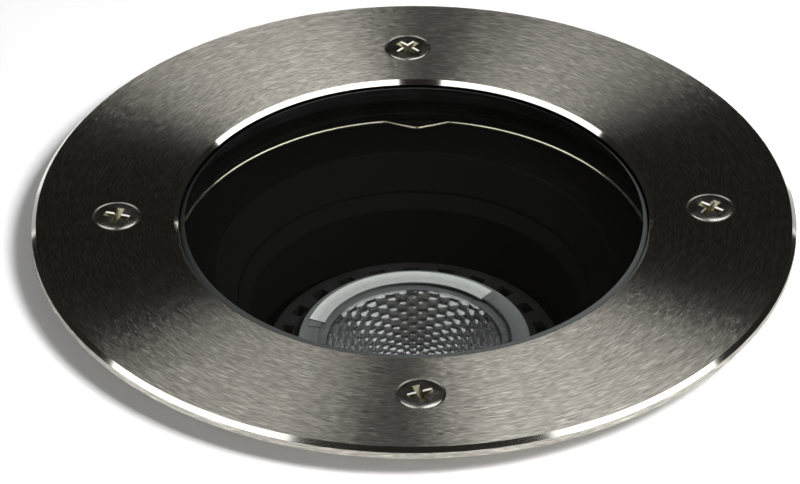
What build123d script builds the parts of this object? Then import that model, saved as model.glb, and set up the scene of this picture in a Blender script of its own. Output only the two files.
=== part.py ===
from build123d import *
import os
from math import sqrt

# An in ground well light. A round steel bezel and a stepped window close a cast pot, which stands
# in a plastic sleeve in the ground. Below the window a lamp sits in a collar that tilts in a turning
# pan, behind a stepped black baffle held down by a wire ring.
#
# Lengths are millimetres and angles degrees. Z = 0 is ground level, where the bezel lies on the
# paving, +Z points up and the lamp shines along it. The tilt pivots lie along X.

# ---------------------------------------------------------------- fits
seat_gap = 0.02        # between flat faces that rest on each other
running_gap = 0.05     # round a screw or pivot in its hole
slip_gap = 0.3         # round a piece that drops into a bore
cut_margin = 1.0       # how far a cutting shape passes the face that it cuts
half_turn = 180.0

# ---------------------------------------------------------------- lamp
# A standard lamp of 50 mm. Everything round it grows outwards from its front ring.
lamp_ring_radius = 24.8
lamp_ring_wall = 4.0
lamp_ring_height = 4.0
lamp_ring_lip = 1.1
lamp_ring_round = 0.4
lamp_rise = 11.1           # lamp's front above the pivots
arc_height = 0.6           # raised grips on the ring
arc_span = 117.0
arc_start = 46.0
arc_lean = 0.4             # the grips' inner edge is this much lower
lens_inset = 2.3           # the lens is this much smaller than the ring
lens_thickness = 1.0
reflector_rim_gap = 0.1    # from the reflector's rim to the lens's edge
reflector_rim_width = 2.0  # flat rim that shows inside the ring
reflector_depth = 15.0     # of the whole dish, before the light source cuts its end off
reflector_foot = 6.5
reflector_wall = 0.8
led_board_radius = 9.0
led_board_thickness = 1.5
led_radius = 5.0
led_height = 0.6
heat_sink_neck = 14.0
heat_sink_height = 29.0
heat_sink_belly = 1.5      # how far its side curves out
lamp_fin_count = 18
lamp_fin_slot = 1.8
lamp_fin_depth = 3.0
lamp_web = 1.0             # solid metal above and below the slots between the fins
lamp_base_radius = 12.6
lamp_base_foot_radius = 11.0
lamp_base_height = 17.0
pin_spacing = 10.0
pin_neck_radius = 1.3
pin_head_radius = 2.4
pin_head_height = 3.0
pin_length = 7.0
lamp_turn = 25.0           # quarter turn fitting: how far the lamp turns to come free

# ---------------------------------------------------------------- lampholder and its strap
holder_radius = 14.0
holder_height = 15.0
holder_gap = 0.3           # below the lamp's base
holder_slot_depth = 8.5
pin_gap = 0.3              # round the pins in the holder
holder_round = 1.0
holder_screw_offset = 10.5
holder_screw_length = 6.0
strap_width = 10.0
strap_thickness = 1.2
strap_bend = 3.0
strap_top_gap = 3.0        # from the collar's plate to the strap's ends
strap_screw_drop = 1.0     # below the pivots
strap_screw_reach = 2.0    # how far the strap screws pass inside the strap

# ---------------------------------------------------------------- tilting collar and its pivots
tilt_drop = 22.1           # pivots below the pan's lip
pivot_radius = 2.0
pivot_head_radius = 3.6
pivot_head_height = 2.2
pivot_inner_reach = 1.4    # the pivots stand this far inside the collar
bush_radius = 4.5
collar_width = 6.4         # of the flat ring round the lamp
collar_rise = 7.8          # collar's upper face above the pivots
collar_plate = 1.6
collar_wall = 1.6
collar_height = 13.8
collar_round = 0.5
collar_lip_wall = 1.2
collar_lip_height = 4.8
vent_count = 24
vent_inset = 3.4           # from the collar's edge to the middle of the vents
vent_length = 3.5
vent_width = 2.4
vent_start = 0.0           # angle of the first vent

# ---------------------------------------------------------------- turning pan and its bearing
swing_room = 3.5           # round the collar, for its tilt
pan_wall = 2.2
pan_drop = 0.5             # the pan's lip starts this far below the baffle's cone
pan_lip_height = 2.8
pan_flange_width = 6.8
pan_flange_thickness = 2.0
pan_flange_drop = 4.1      # from the lip to the flange's upper face
pan_skirt_length = 17.1
ear_width = 16.0
ear_drop = 6.5             # below the pivots
glide_thickness = 0.8
glide_inset = 0.2
bearing_plate_thickness = 3.0
plate_screw_count = 3
plate_screw_inset = 3.7    # from the bearing plate's ledge
plate_screw_start = 30.0   # angle of the first screw
stop_radius = 1.5
stop_offset = 2.3          # from the pan's flange to the stop pin's middle
tab_length = 3.2
tab_root = 0.5             # how far the tab starts inside the flange
tab_width = 4.8

# ---------------------------------------------------------------- baffle
baffle_rim_gap = 0.4
baffle_rim_width = 1.7
baffle_rim_thickness = 2.6
baffle_cone_width = 4.2    # from the throat to the step
baffle_step_drop = 1.3     # the upper face falls this far from rim to step
baffle_throat_drop = 8.5   # from the rim's top to the end of the cone
baffle_wall = 1.8
baffle_step_round = 0.6

# ---------------------------------------------------------------- wire ring
wire_radius = 0.6
wire_inset = 0.2           # its middle line stands this far inside the well's bore
wire_drop = 5.2            # below the glass seat
kink_width = 13.7
kink_depth = 2.7
kink_tip = 1.7
kink_bend = 0.8
kink_turn = -2.0           # the kink stands a little off the back
wire_mouth = 4.0           # half of the open angle between the ring's ends

# ---------------------------------------------------------------- cast housing
casting_wall = 3.0
plate_room = 3.5           # between the pan's flange and the pot's wall
plate_ledge_width = 2.1    # carries the bearing plate
baffle_ledge_width = 1.4   # carries the baffle
flange_thickness = 5.0
wiring_room = 24.55        # between the lampholder's strap and the floor
floor_thickness = 3.5
bottom_round = 3.0
fin_count = 16
fin_depth = 6.5
fin_thickness = 2.4
fin_start = 24.0           # depth of the fins' upper end
fin_start_angle = 5.625    # of the first fin
fin_end_gap = 5.0          # from the fins' lower end to the housing's underside
boss_radius = 4.3
boss_depth = 18.0

# ---------------------------------------------------------------- window and its gasket
window_overlap = 1.7       # how far the bezel reaches in over the well
window_gap = 0.35          # between the raised glass and the bezel
glass_drop = 1.0           # the glass lies this far below the bezel's face
glass_thickness = 9.0
glass_flange_width = 6.7   # of the lower step, which the bezel holds down
glass_chamfer = 0.9        # ground edge of the raised centre
gasket_lip = 0.6           # rubber between bezel and glass
gasket_base = 1.5          # rubber under the glass
gasket_wall = 1.3          # rubber round the glass
gasket_reach = 4.5         # how far the lips reach inwards over the glass

# ---------------------------------------------------------------- bezel and its screws
bezel_overhang = 10.0      # past the sleeve, over the paving
bezel_thickness = 2.5
bezel_bevel = 0.9          # polished bevel along the outer upper edge
bezel_inner_round = 1.9    # polished round down to the window
bezel_edge_break = 0.3     # small chamfer under the outer edge
bezel_groove_depth = 0.5   # groove underneath, over the sleeve's edge
bezel_groove_margin = 0.6  # on each side of the sleeve's wall

bezel_screw_count = 4
bezel_screw_offset = 6.2   # from the glass's edge to the screws
bezel_screw_turns = (54.0, 46.0, 72.0, 20.0)   # how far each cross stands turned
bezel_screw_radius = 2.5
bezel_screw_length = 14.0
bezel_hole_radius = 2.75
countersink_radius = 5.1
countersink_angle = 90.0
screw_head_radius = 4.4
screw_head_land = 0.25     # short upright edge of the head
screw_head_dome = 0.7
cross_length = 4.8
cross_width = 1.1
cross_depth = 1.5
cross_taper = 8.0          # degrees that the recess narrows towards its floor

# ---------------------------------------------------------------- small screws
m3_radius = 1.5
m3_head_radius = 2.9
m3_countersink_radius = 3.1
m3_hole_radius = 1.7
m3_head_height = 1.6
head_edge_break = 0.35
slot_width = 0.8
slot_depth = 0.8
plate_screw_length = 10.0
housing_screw_offset = 7.0 # from the glass's edge to the screws
housing_screw_length = 14.0

# ---------------------------------------------------------------- wiring in the pot
block_length = 34.0
block_width = 16.0
block_height = 13.0
block_poles = 3
block_pitch = 11.0
block_step = 4.0           # lower shoulder on each side, over the wire entries
block_step_height = 7.5
insert_radius = 2.6
insert_gap = 0.1
insert_foot = 1.5          # plastic under the inserts
insert_end_gap = 1.0       # from the inserts' ends to the block's sides
wire_hole_radius = 1.7
terminal_screw_radius = 1.6
terminal_screw_offset = 4.6
terminal_screw_sink = 1.0  # below the block's top
fixing_screw_depth = 2.2
earth_offset = 34.0
earth_boss_radius = 4.5
earth_boss_height = 5.0
earth_washer_radius = 4.2
earth_washer_thickness = 0.8
earth_screw_radius = 2.0
earth_head_radius = 3.8
earth_head_height = 2.4
earth_screw_length = 6.0

# ---------------------------------------------------------------- cable entries
entry_offset = 26.0
entry_thread_radius = 8.0
entry_inner_reach = 2.0
hex_across_flats = 22.0
gland_hex_height = 5.0
gland_neck_radius = 8.6
gland_neck_length = 7.0
gland_bore = 5.5
gland_nut_across_flats = 20.0
gland_nut_length = 12.5
gland_nut_wall = 3.6
gland_nut_mouth = 4.8
gland_nut_dome = 2.0
seal_bore = 4.0
seal_length = 12.0
entry_washer_radius = 10.0
entry_washer_thickness = 1.0
plug_head_height = 4.0

# ---------------------------------------------------------------- mounting sleeve
sleeve_gap = 1.0           # round the housing's flange
sleeve_wall = 2.5
cable_room = 30.5          # under the housing
foot_width = 8.0
foot_thickness = 3.0
lug_count = 4
lug_width = 14.0
lug_height = 20.0
lug_slope = 5.0
notch_width = 24.0
notch_height = 22.0

# ---------------------------------------------------------------- radii worked out from the lamp outwards
lamp_ring_bore = lamp_ring_radius - lamp_ring_wall
lens_radius = lamp_ring_radius - lens_inset
reflector_rim_radius = lens_radius - reflector_rim_gap
reflector_mouth = lamp_ring_bore - reflector_rim_width

collar_bore = lamp_ring_radius + slip_gap
collar_radius = collar_bore + collar_width
collar_inner = collar_radius - collar_wall
vent_circle_radius = collar_radius - vent_inset

pan_bore = collar_radius + swing_room
pan_radius = pan_bore + pan_wall
pan_flange_radius = pan_radius + pan_flange_width
stop_circle_radius = pan_flange_radius + stop_offset
plate_bore = pan_radius + slip_gap
baffle_throat_radius = pan_radius + slip_gap
baffle_step_radius = baffle_throat_radius + baffle_cone_width

pot_radius = pan_flange_radius + plate_room
ledge_radius = pot_radius + plate_ledge_width
well_radius = ledge_radius + baffle_ledge_width
plate_radius = ledge_radius - slip_gap
plate_screw_circle_radius = ledge_radius - plate_screw_inset
baffle_radius = well_radius - baffle_rim_gap
wire_ring_radius = well_radius - wire_inset

window_radius = well_radius - window_overlap
raised_radius = window_radius - window_gap
glass_flange_radius = window_radius + glass_flange_width
gasket_radius = glass_flange_radius + running_gap + gasket_wall
recess_radius = gasket_radius + slip_gap
shell_radius = recess_radius + casting_wall
bezel_screw_circle_radius = glass_flange_radius + bezel_screw_offset
housing_screw_circle_radius = glass_flange_radius + housing_screw_offset
flange_radius = bezel_screw_circle_radius + boss_radius
sleeve_bore = flange_radius + sleeve_gap
sleeve_radius = sleeve_bore + sleeve_wall
bezel_radius = sleeve_radius + bezel_overhang

# ---------------------------------------------------------------- levels worked out from the above
glass_top = bezel_thickness - glass_drop
glass_bottom = glass_top - glass_thickness
glass_shoulder = -gasket_lip - running_gap
gasket_bottom = glass_bottom - running_gap - gasket_base
seat_level = gasket_bottom - seat_gap

wire_level = seat_level - wire_drop
baffle_top = wire_level - wire_radius - seat_gap
baffle_step_level = baffle_top - baffle_step_drop
baffle_end = baffle_top - baffle_throat_drop
ledge_level = baffle_top - baffle_rim_thickness - seat_gap

pan_top = baffle_end - pan_drop
pan_flange_top = pan_top - pan_flange_drop
pan_flange_bottom = pan_flange_top - pan_flange_thickness
glide_top = pan_flange_bottom - seat_gap
plate_top = glide_top - glide_thickness - seat_gap
plate_bottom = plate_top - bearing_plate_thickness
plate_ledge = plate_bottom - seat_gap

tilt_level = pan_top - tilt_drop
collar_top = tilt_level + collar_rise
collar_under = collar_top - collar_plate
collar_bottom = collar_top - collar_height

lamp_top = tilt_level + lamp_rise
ring_low_top = lamp_top - arc_height
ring_bottom = lamp_top - lamp_ring_height
lens_top = lamp_top - lamp_ring_lip - seat_gap
lens_bottom = lens_top - lens_thickness
reflector_top = lens_bottom - seat_gap
reflector_bottom = reflector_top - reflector_depth * (1 - (reflector_foot / reflector_mouth) ** 2)
board_top = reflector_bottom - reflector_wall - seat_gap
board_bottom = board_top - led_board_thickness
heat_sink_top = ring_bottom - seat_gap
heat_sink_bottom = heat_sink_top - heat_sink_height
base_top = heat_sink_bottom - seat_gap
base_bottom = base_top - lamp_base_height

holder_top = base_bottom - holder_gap
holder_bottom = holder_top - holder_height
strap_plate_top = holder_bottom - seat_gap
strap_plate_bottom = strap_plate_top - strap_thickness
strap_top = collar_under - strap_top_gap
strap_reach = sqrt(collar_inner ** 2 - (strap_width / 2) ** 2) - running_gap
strap_screw_level = tilt_level - strap_screw_drop

pot_floor = strap_plate_bottom - wiring_room
pot_underside = pot_floor - floor_thickness
block_bottom = pot_floor + seat_gap
block_top = block_bottom + block_height
block_shoulder = block_bottom + block_step_height
earth_boss_top = pot_floor + earth_boss_height

washer_bottom = pot_underside - seat_gap - entry_washer_thickness
hex_top = washer_bottom - seat_gap
hex_bottom = hex_top - gland_hex_height
neck_bottom = hex_bottom - gland_neck_length
nut_top = hex_bottom - seat_gap
nut_bottom = nut_top - gland_nut_length
nut_shoulder = nut_bottom + gland_nut_wall
seal_bottom = nut_shoulder + seat_gap

sleeve_top = -seat_gap
sleeve_bottom = pot_underside - cable_room
lug_top = -flange_thickness - seat_gap
lug_inner = shell_radius + slip_gap

os.makedirs("parts", exist_ok=True)


def hand_out(sub_part, name):
    """Labels one finished sub-part and writes its file."""
    sub_part.part.label = name
    export_step(sub_part.part, "parts/" + name + ".step")


# ================================================================ cover: bezel, screws, glass, gasket
with BuildPart() as bezel:
    with BuildSketch(Plane.XY):
        Circle(bezel_radius)
        Circle(window_radius, mode=Mode.SUBTRACT)
    extrude(amount=bezel_thickness)
    fillet(bezel.edges().group_by(Axis.Z)[-1].sort_by(SortBy.RADIUS)[0], bezel_inner_round)
    chamfer(bezel.edges().group_by(Axis.Z)[-1].sort_by(SortBy.RADIUS)[-1], bezel_bevel)
    chamfer(bezel.edges().group_by(Axis.Z)[0].sort_by(SortBy.RADIUS)[-1], bezel_edge_break)
    with Locations(Plane.XY.offset(bezel_thickness)):
        with PolarLocations(bezel_screw_circle_radius, bezel_screw_count):
            CounterSinkHole(bezel_hole_radius, countersink_radius, counter_sink_angle=countersink_angle)

    # A shallow groove underneath clears the sleeve's edge, so that the rim lies flat on the paving.
    with BuildSketch(Plane.XY):
        Circle(sleeve_radius + bezel_groove_margin)
        Circle(sleeve_bore - bezel_groove_margin, mode=Mode.SUBTRACT)
    extrude(amount=bezel_groove_depth, mode=Mode.SUBTRACT)
hand_out(bezel, "bezel")


# The head's cone stands off the countersink by the running gap, which lifts it a little.
head_edge_level = bezel_thickness - (countersink_radius - screw_head_radius) + running_gap
head_cone_level = head_edge_level - (screw_head_radius - bezel_screw_radius)
dome_level = head_edge_level + screw_head_land + screw_head_dome
dome_radius = (screw_head_radius ** 2 + screw_head_dome ** 2) / (2 * screw_head_dome)
with BuildPart() as one_bezel_screw:
    with BuildSketch(Plane.XZ):
        with BuildLine():
            land_top = (screw_head_radius, head_edge_level + screw_head_land)
            Polyline(
                (0, dome_level),
                (0, head_edge_level - bezel_screw_length),
                (bezel_screw_radius, head_edge_level - bezel_screw_length),
                (bezel_screw_radius, head_cone_level),
                (screw_head_radius, head_edge_level),
                land_top,
            )
            RadiusArc(land_top, (0, dome_level), -dome_radius)
        make_face()
    revolve(axis=Axis.Z)
    with BuildSketch(Plane.XY.offset(dome_level)):
        Rectangle(cross_length, cross_width)
        Rectangle(cross_width, cross_length)
    extrude(amount=-cross_depth, taper=cross_taper, mode=Mode.SUBTRACT)

screw_places = PolarLocations(bezel_screw_circle_radius, bezel_screw_count)
with BuildPart() as bezel_screws:
    for place, turn in zip(screw_places.locations, bezel_screw_turns):
        with Locations(place * Rotation(0, 0, turn)):
            add(one_bezel_screw.part)
hand_out(bezel_screws, "bezel_screws")

with BuildPart() as glass:
    with BuildSketch(Plane.XY.offset(glass_bottom)):
        Circle(glass_flange_radius)
    extrude(amount=glass_shoulder - glass_bottom)
    with BuildSketch(Plane.XY.offset(glass_shoulder)):
        Circle(raised_radius)
    extrude(amount=glass_top - glass_shoulder)
    chamfer(glass.edges().group_by(Axis.Z)[-1], glass_chamfer)
hand_out(glass, "glass")

gasket_inner = glass_flange_radius - gasket_reach
with BuildPart() as glass_gasket:
    with BuildSketch(Plane.XZ):
        with BuildLine():
            Polyline(
                (gasket_inner, -seat_gap),
                (gasket_radius, -seat_gap),
                (gasket_radius, gasket_bottom),
                (gasket_inner, gasket_bottom),
                (gasket_inner, glass_bottom - running_gap),
                (glass_flange_radius + running_gap, glass_bottom - running_gap),
                (glass_flange_radius + running_gap, -gasket_lip),
                (gasket_inner, -gasket_lip),
                close=True,
            )
        make_face()
    revolve(axis=Axis.Z)
hand_out(glass_gasket, "glass_gasket")

# ================================================================ cast housing
pot_outer = pot_radius + casting_wall
ledge_outer = ledge_radius + casting_wall
well_outer = well_radius + casting_wall
shell_end = seat_level - casting_wall
well_end = ledge_level - casting_wall
ledge_end = plate_ledge - casting_wall
fin_root = (ledge_radius + pot_outer) / 2
fin_reach = pot_outer + fin_depth
with BuildPart() as housing:
    with BuildSketch(Plane.XZ):
        with BuildLine():
            Polyline(
                (recess_radius, -seat_gap),
                (flange_radius, -seat_gap),
                (flange_radius, -flange_thickness),
                (shell_radius, -flange_thickness),
                (shell_radius, shell_end),
                (well_outer, shell_end - (shell_radius - well_outer)),
                (well_outer, well_end),
                (ledge_outer, well_end - (well_outer - ledge_outer)),
                (ledge_outer, ledge_end),
                (pot_outer, ledge_end - (ledge_outer - pot_outer)),
                (pot_outer, pot_underside + bottom_round),
                (pot_outer - bottom_round, pot_underside),
                (0, pot_underside),
                (0, pot_floor),
                (pot_radius, pot_floor),
                (pot_radius, plate_ledge),
                (ledge_radius, plate_ledge),
                (ledge_radius, ledge_level),
                (well_radius, ledge_level),
                (well_radius, seat_level),
                (recess_radius, seat_level),
                close=True,
            )
        make_face()
    revolve(axis=Axis.Z)

    # The groove that the wire ring springs into.
    with BuildSketch(Plane.XZ):
        with Locations((wire_ring_radius, wire_level)):
            Circle(wire_radius + running_gap)
    revolve(axis=Axis.Z, mode=Mode.SUBTRACT)

    # Bosses and blind holes for the bezel screws.
    with BuildSketch(Plane.XY.offset(-flange_thickness)):
        with PolarLocations(bezel_screw_circle_radius, bezel_screw_count):
            Circle(boss_radius)
    extrude(amount=flange_thickness - boss_depth)
    with BuildSketch(Plane.XY):
        with PolarLocations(bezel_screw_circle_radius, bezel_screw_count):
            Circle(bezel_screw_radius + 2 * running_gap)
    extrude(amount=2 * seat_gap - bezel_screw_length, mode=Mode.SUBTRACT)

    # Countersunk holes for the screws that hold the housing in its sleeve.
    with Locations(Plane.XY.offset(-seat_gap)):
        with PolarLocations(housing_screw_circle_radius, lug_count, start_angle=half_turn / lug_count):
            CounterSinkHole(m3_hole_radius, m3_countersink_radius, flange_thickness, countersink_angle)

    # Cooling fins.
    with BuildSketch(Plane.XY.offset(-fin_start)):
        with PolarLocations((fin_root + fin_reach) / 2, fin_count, start_angle=fin_start_angle):
            Rectangle(fin_reach - fin_root, fin_thickness)
    extrude(amount=fin_start + pot_underside + fin_end_gap)

    # Bosses and holes for the bearing plate's screws, merged with the wall.
    with BuildSketch(Plane.XY.offset(plate_ledge)):
        with PolarLocations(plate_screw_circle_radius, plate_screw_count, start_angle=plate_screw_start):
            Circle(boss_radius - running_gap)
    extrude(amount=-plate_screw_length - casting_wall)
    with BuildSketch(Plane.XY.offset(plate_ledge)):
        with PolarLocations(plate_screw_circle_radius, plate_screw_count, start_angle=plate_screw_start):
            Circle(m3_radius + running_gap)
    extrude(amount=-plate_screw_length, mode=Mode.SUBTRACT)

    # Earth boss, the terminal block's blind hole and the two cable entries.
    with BuildSketch(Plane.XY.offset(pot_floor)):
        with Locations((earth_offset, 0)):
            Circle(earth_boss_radius)
    extrude(amount=earth_boss_height)
    with BuildSketch(Plane.XY.offset(earth_boss_top)):
        with Locations((earth_offset, 0)):
            Circle(earth_screw_radius + running_gap)
    extrude(amount=-earth_screw_length, mode=Mode.SUBTRACT)
    with BuildSketch(Plane.XY.offset(pot_floor)):
        with Locations((block_pitch / 2, 0)):
            Circle(m3_radius + running_gap)
    extrude(amount=-fixing_screw_depth - slip_gap, mode=Mode.SUBTRACT)
    with BuildSketch(Plane.XY.offset(pot_floor)):
        with Locations((0, -entry_offset), (0, entry_offset)):
            Circle(entry_thread_radius + running_gap)
    extrude(amount=-floor_thickness, mode=Mode.SUBTRACT)
hand_out(housing, "housing")


# ================================================================ sleeve
with BuildPart() as sleeve:
    with BuildSketch(Plane.XY.offset(sleeve_bottom)):
        Circle(sleeve_radius)
        Circle(sleeve_bore, mode=Mode.SUBTRACT)
    extrude(amount=sleeve_top - sleeve_bottom)
    with BuildSketch(Plane.XY.offset(sleeve_bottom)):
        Circle(sleeve_radius - sleeve_wall / 2)
        Circle(sleeve_bore - foot_width, mode=Mode.SUBTRACT)
    extrude(amount=foot_thickness)

    # Lugs that carry the housing's flange, sloped below as they are moulded.
    lug_outer = sleeve_bore + sleeve_wall / 2
    for turn in range(lug_count):
        lug_plane = Plane.XZ.rotated((0, 0, (2 * turn + 1) * half_turn / lug_count))
        with BuildSketch(lug_plane):
            with BuildLine():
                Polyline(
                    (lug_inner, lug_top),
                    (lug_outer, lug_top),
                    (lug_outer, lug_top - lug_height),
                    (sleeve_bore, lug_top - lug_height),
                    (lug_inner, lug_top - lug_height + lug_slope),
                    close=True,
                )
            make_face()
        extrude(amount=lug_width / 2, both=True)
    with BuildSketch(Plane.XY.offset(lug_top)):
        with PolarLocations(housing_screw_circle_radius, lug_count, start_angle=half_turn / lug_count):
            Circle(m3_radius + running_gap)
    extrude(amount=-housing_screw_length, mode=Mode.SUBTRACT)

    # Arched notches for the supply cable, front and back.
    with BuildSketch(Plane.XZ):
        with Locations((0, sleeve_bottom)):
            Rectangle(notch_width, 2 * (notch_height - notch_width / 2))
        with Locations((0, sleeve_bottom + notch_height - notch_width / 2)):
            Circle(notch_width / 2)
    extrude(amount=sleeve_radius + sleeve_wall, both=True, mode=Mode.SUBTRACT)
hand_out(sleeve, "sleeve")


def countersunk_screw(head_radius, shank_radius, length):
    """A flat headed screw with a slot, head up, its top at the origin. Made outside other blocks."""
    with BuildPart() as screw:
        with BuildSketch(Plane.XZ):
            with BuildLine():
                Polyline(
                    (0, 0),
                    (head_radius, 0),
                    (shank_radius, shank_radius - head_radius),
                    (shank_radius, -length),
                    (0, -length),
                    close=True,
                )
            make_face()
        revolve(axis=Axis.Z)
        with BuildSketch(Plane.XY):
            Rectangle(2 * head_radius, slot_width)
        extrude(amount=-slot_depth, mode=Mode.SUBTRACT)
    return screw.part


def flat_head_screw(head_radius, head_height, shank_radius, length):
    """A cylinder headed screw with a slot, head up, the underside of its head at the origin."""
    with BuildPart() as screw:
        with BuildSketch(Plane.XY):
            Circle(head_radius)
        extrude(amount=head_height)
        chamfer(screw.edges().group_by(Axis.Z)[-1], head_edge_break)
        with BuildSketch(Plane.XY.offset(head_height)):
            Rectangle(2 * head_radius, slot_width)
        extrude(amount=-slot_depth, mode=Mode.SUBTRACT)
        with BuildSketch(Plane.XY):
            Circle(shank_radius)
        extrude(amount=-length)
    return screw.part


# A countersunk head drops until its cone is the running gap away from its seat.
head_sink = m3_countersink_radius - m3_head_radius - running_gap
housing_screw_blank = countersunk_screw(m3_head_radius, m3_radius, housing_screw_length)
with BuildPart() as housing_screws:
    with Locations(Plane.XY.offset(-seat_gap - head_sink)):
        with PolarLocations(housing_screw_circle_radius, lug_count, start_angle=half_turn / lug_count):
            add(housing_screw_blank)
hand_out(housing_screws, "housing_screws")

# ================================================================ wire ring
half_base = kink_width / 2
base_depth = sqrt(wire_ring_radius ** 2 - half_base ** 2)
tip_depth = wire_ring_radius - kink_depth
mouth_right = Vector(wire_ring_radius, 0).rotate(Axis.Z, -90 + wire_mouth)
mouth_left = Vector(wire_ring_radius, 0).rotate(Axis.Z, -90 - wire_mouth)
with BuildPart() as wire_ring:
    with BuildLine(Plane.XY.offset(wire_level).rotated((0, 0, kink_turn))) as wire_path:
        RadiusArc((mouth_right.X, mouth_right.Y), (wire_ring_radius, 0), -wire_ring_radius)
        RadiusArc((wire_ring_radius, 0), (half_base, base_depth), -wire_ring_radius)
        Polyline(
            (half_base, base_depth),
            (kink_tip / 2, tip_depth),
            (-kink_tip / 2, tip_depth),
            (-half_base, base_depth),
        )
        RadiusArc((-half_base, base_depth), (-wire_ring_radius, 0), -wire_ring_radius)
        RadiusArc((-wire_ring_radius, 0), (mouth_left.X, mouth_left.Y), -wire_ring_radius)
        back_half = wire_path.vertices().filter_by(lambda corner: corner.Y > kink_width)
        fillet(back_half, kink_bend)
    wire_line = wire_path.wires()[0]
    with BuildSketch(Plane(wire_line @ 0, z_dir=wire_line % 0)):
        Circle(wire_radius)
    sweep(path=wire_line)
hand_out(wire_ring, "wire_ring")

# ================================================================ baffle
rim_inner = baffle_radius - baffle_rim_width
with BuildPart() as baffle:
    with BuildSketch(Plane.XZ):
        with BuildLine():
            Polyline(
                (baffle_radius, baffle_top),
                (baffle_step_radius, baffle_step_level),
                (baffle_throat_radius, baffle_end),
                (baffle_throat_radius, baffle_end - baffle_wall),
                (baffle_throat_radius + baffle_wall / 2, baffle_end - baffle_wall),
                (baffle_step_radius + baffle_wall / 2, baffle_step_level - baffle_wall),
                (rim_inner, baffle_top - baffle_rim_thickness),
                (baffle_radius, baffle_top - baffle_rim_thickness),
                close=True,
            )
        make_face()
    revolve(axis=Axis.Z)
    round_edges = baffle.edges().filter_by(GeomType.CIRCLE)
    step_edge = round_edges.filter_by(lambda edge: edge.radius == baffle_step_radius)
    fillet(step_edge, baffle_step_round)
hand_out(baffle, "baffle")

# ================================================================ bearing plate, glide ring, stop
with BuildPart() as bearing_plate:
    with BuildSketch(Plane.XY.offset(plate_bottom)):
        Circle(plate_radius)
        Circle(plate_bore, mode=Mode.SUBTRACT)
        with Locations((0, stop_circle_radius)):
            Circle(stop_radius + running_gap, mode=Mode.SUBTRACT)
    extrude(amount=bearing_plate_thickness)
    with Locations(Plane.XY.offset(plate_top)):
        with PolarLocations(plate_screw_circle_radius, plate_screw_count, start_angle=plate_screw_start):
            CounterSinkHole(m3_hole_radius, m3_countersink_radius, bearing_plate_thickness, countersink_angle)
hand_out(bearing_plate, "bearing_plate")

plate_screw_blank = countersunk_screw(m3_head_radius, m3_radius, plate_screw_length)
with BuildPart() as bearing_plate_screws:
    with Locations(Plane.XY.offset(plate_top - head_sink)):
        with PolarLocations(plate_screw_circle_radius, plate_screw_count, start_angle=plate_screw_start):
            add(plate_screw_blank)
hand_out(bearing_plate_screws, "bearing_plate_screws")

with BuildPart() as stop_pin:
    with BuildSketch(Plane.XY.offset(plate_bottom)):
        with Locations((0, stop_circle_radius)):
            Circle(stop_radius)
    extrude(amount=pan_flange_top - plate_bottom)
hand_out(stop_pin, "stop_pin")

with BuildPart() as glide_ring:
    with BuildSketch(Plane.XY.offset(glide_top - glide_thickness)):
        Circle(pan_flange_radius - glide_inset)
        Circle(plate_bore + glide_inset, mode=Mode.SUBTRACT)
    extrude(amount=glide_thickness)
hand_out(glide_ring, "glide_ring")

# ================================================================ turning pan
ear_bottom = tilt_level - ear_drop
skirt_bottom = pan_top - pan_skirt_length
with BuildPart() as pan_ring:
    with BuildSketch(Plane.XZ):
        with BuildLine():
            Polyline(
                (pan_radius, pan_top),
                (pan_radius, pan_flange_top),
                (pan_flange_radius, pan_flange_top),
                (pan_flange_radius, pan_flange_bottom),
                (pan_radius, pan_flange_bottom),
                (pan_radius, ear_bottom),
                (pan_bore, ear_bottom),
                (pan_bore, pan_top - pan_lip_height),
                close=True,
            )
        make_face()
    revolve(axis=Axis.Z)

    # Below the skirt only two round ended ears stay, which hold the pivots.
    with BuildSketch(Plane.YZ) as skirt_waste:
        with Locations((0, (skirt_bottom + ear_bottom) / 2)):
            Rectangle(3 * pan_radius, skirt_bottom - ear_bottom)
        with Locations((0, tilt_level)):
            Rectangle(ear_width, 2 * (skirt_bottom - tilt_level), mode=Mode.SUBTRACT)
        with Locations((0, ear_bottom + ear_width / 2)):
            Circle(ear_width / 2, mode=Mode.SUBTRACT)
    extrude(amount=2 * pan_radius, both=True, mode=Mode.SUBTRACT)
    with BuildSketch(Plane.YZ):
        with Locations((0, tilt_level)):
            Circle(pivot_radius + running_gap)
    extrude(amount=2 * pan_radius, both=True, mode=Mode.SUBTRACT)

    # The tab that meets the stop pin.
    with BuildSketch(Plane.XY.offset(pan_flange_bottom)):
        with Locations((0, -pan_flange_radius - (tab_length - tab_root) / 2)):
            Rectangle(tab_width, tab_length + tab_root)
    extrude(amount=pan_flange_thickness)
hand_out(pan_ring, "pan_ring")

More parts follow.
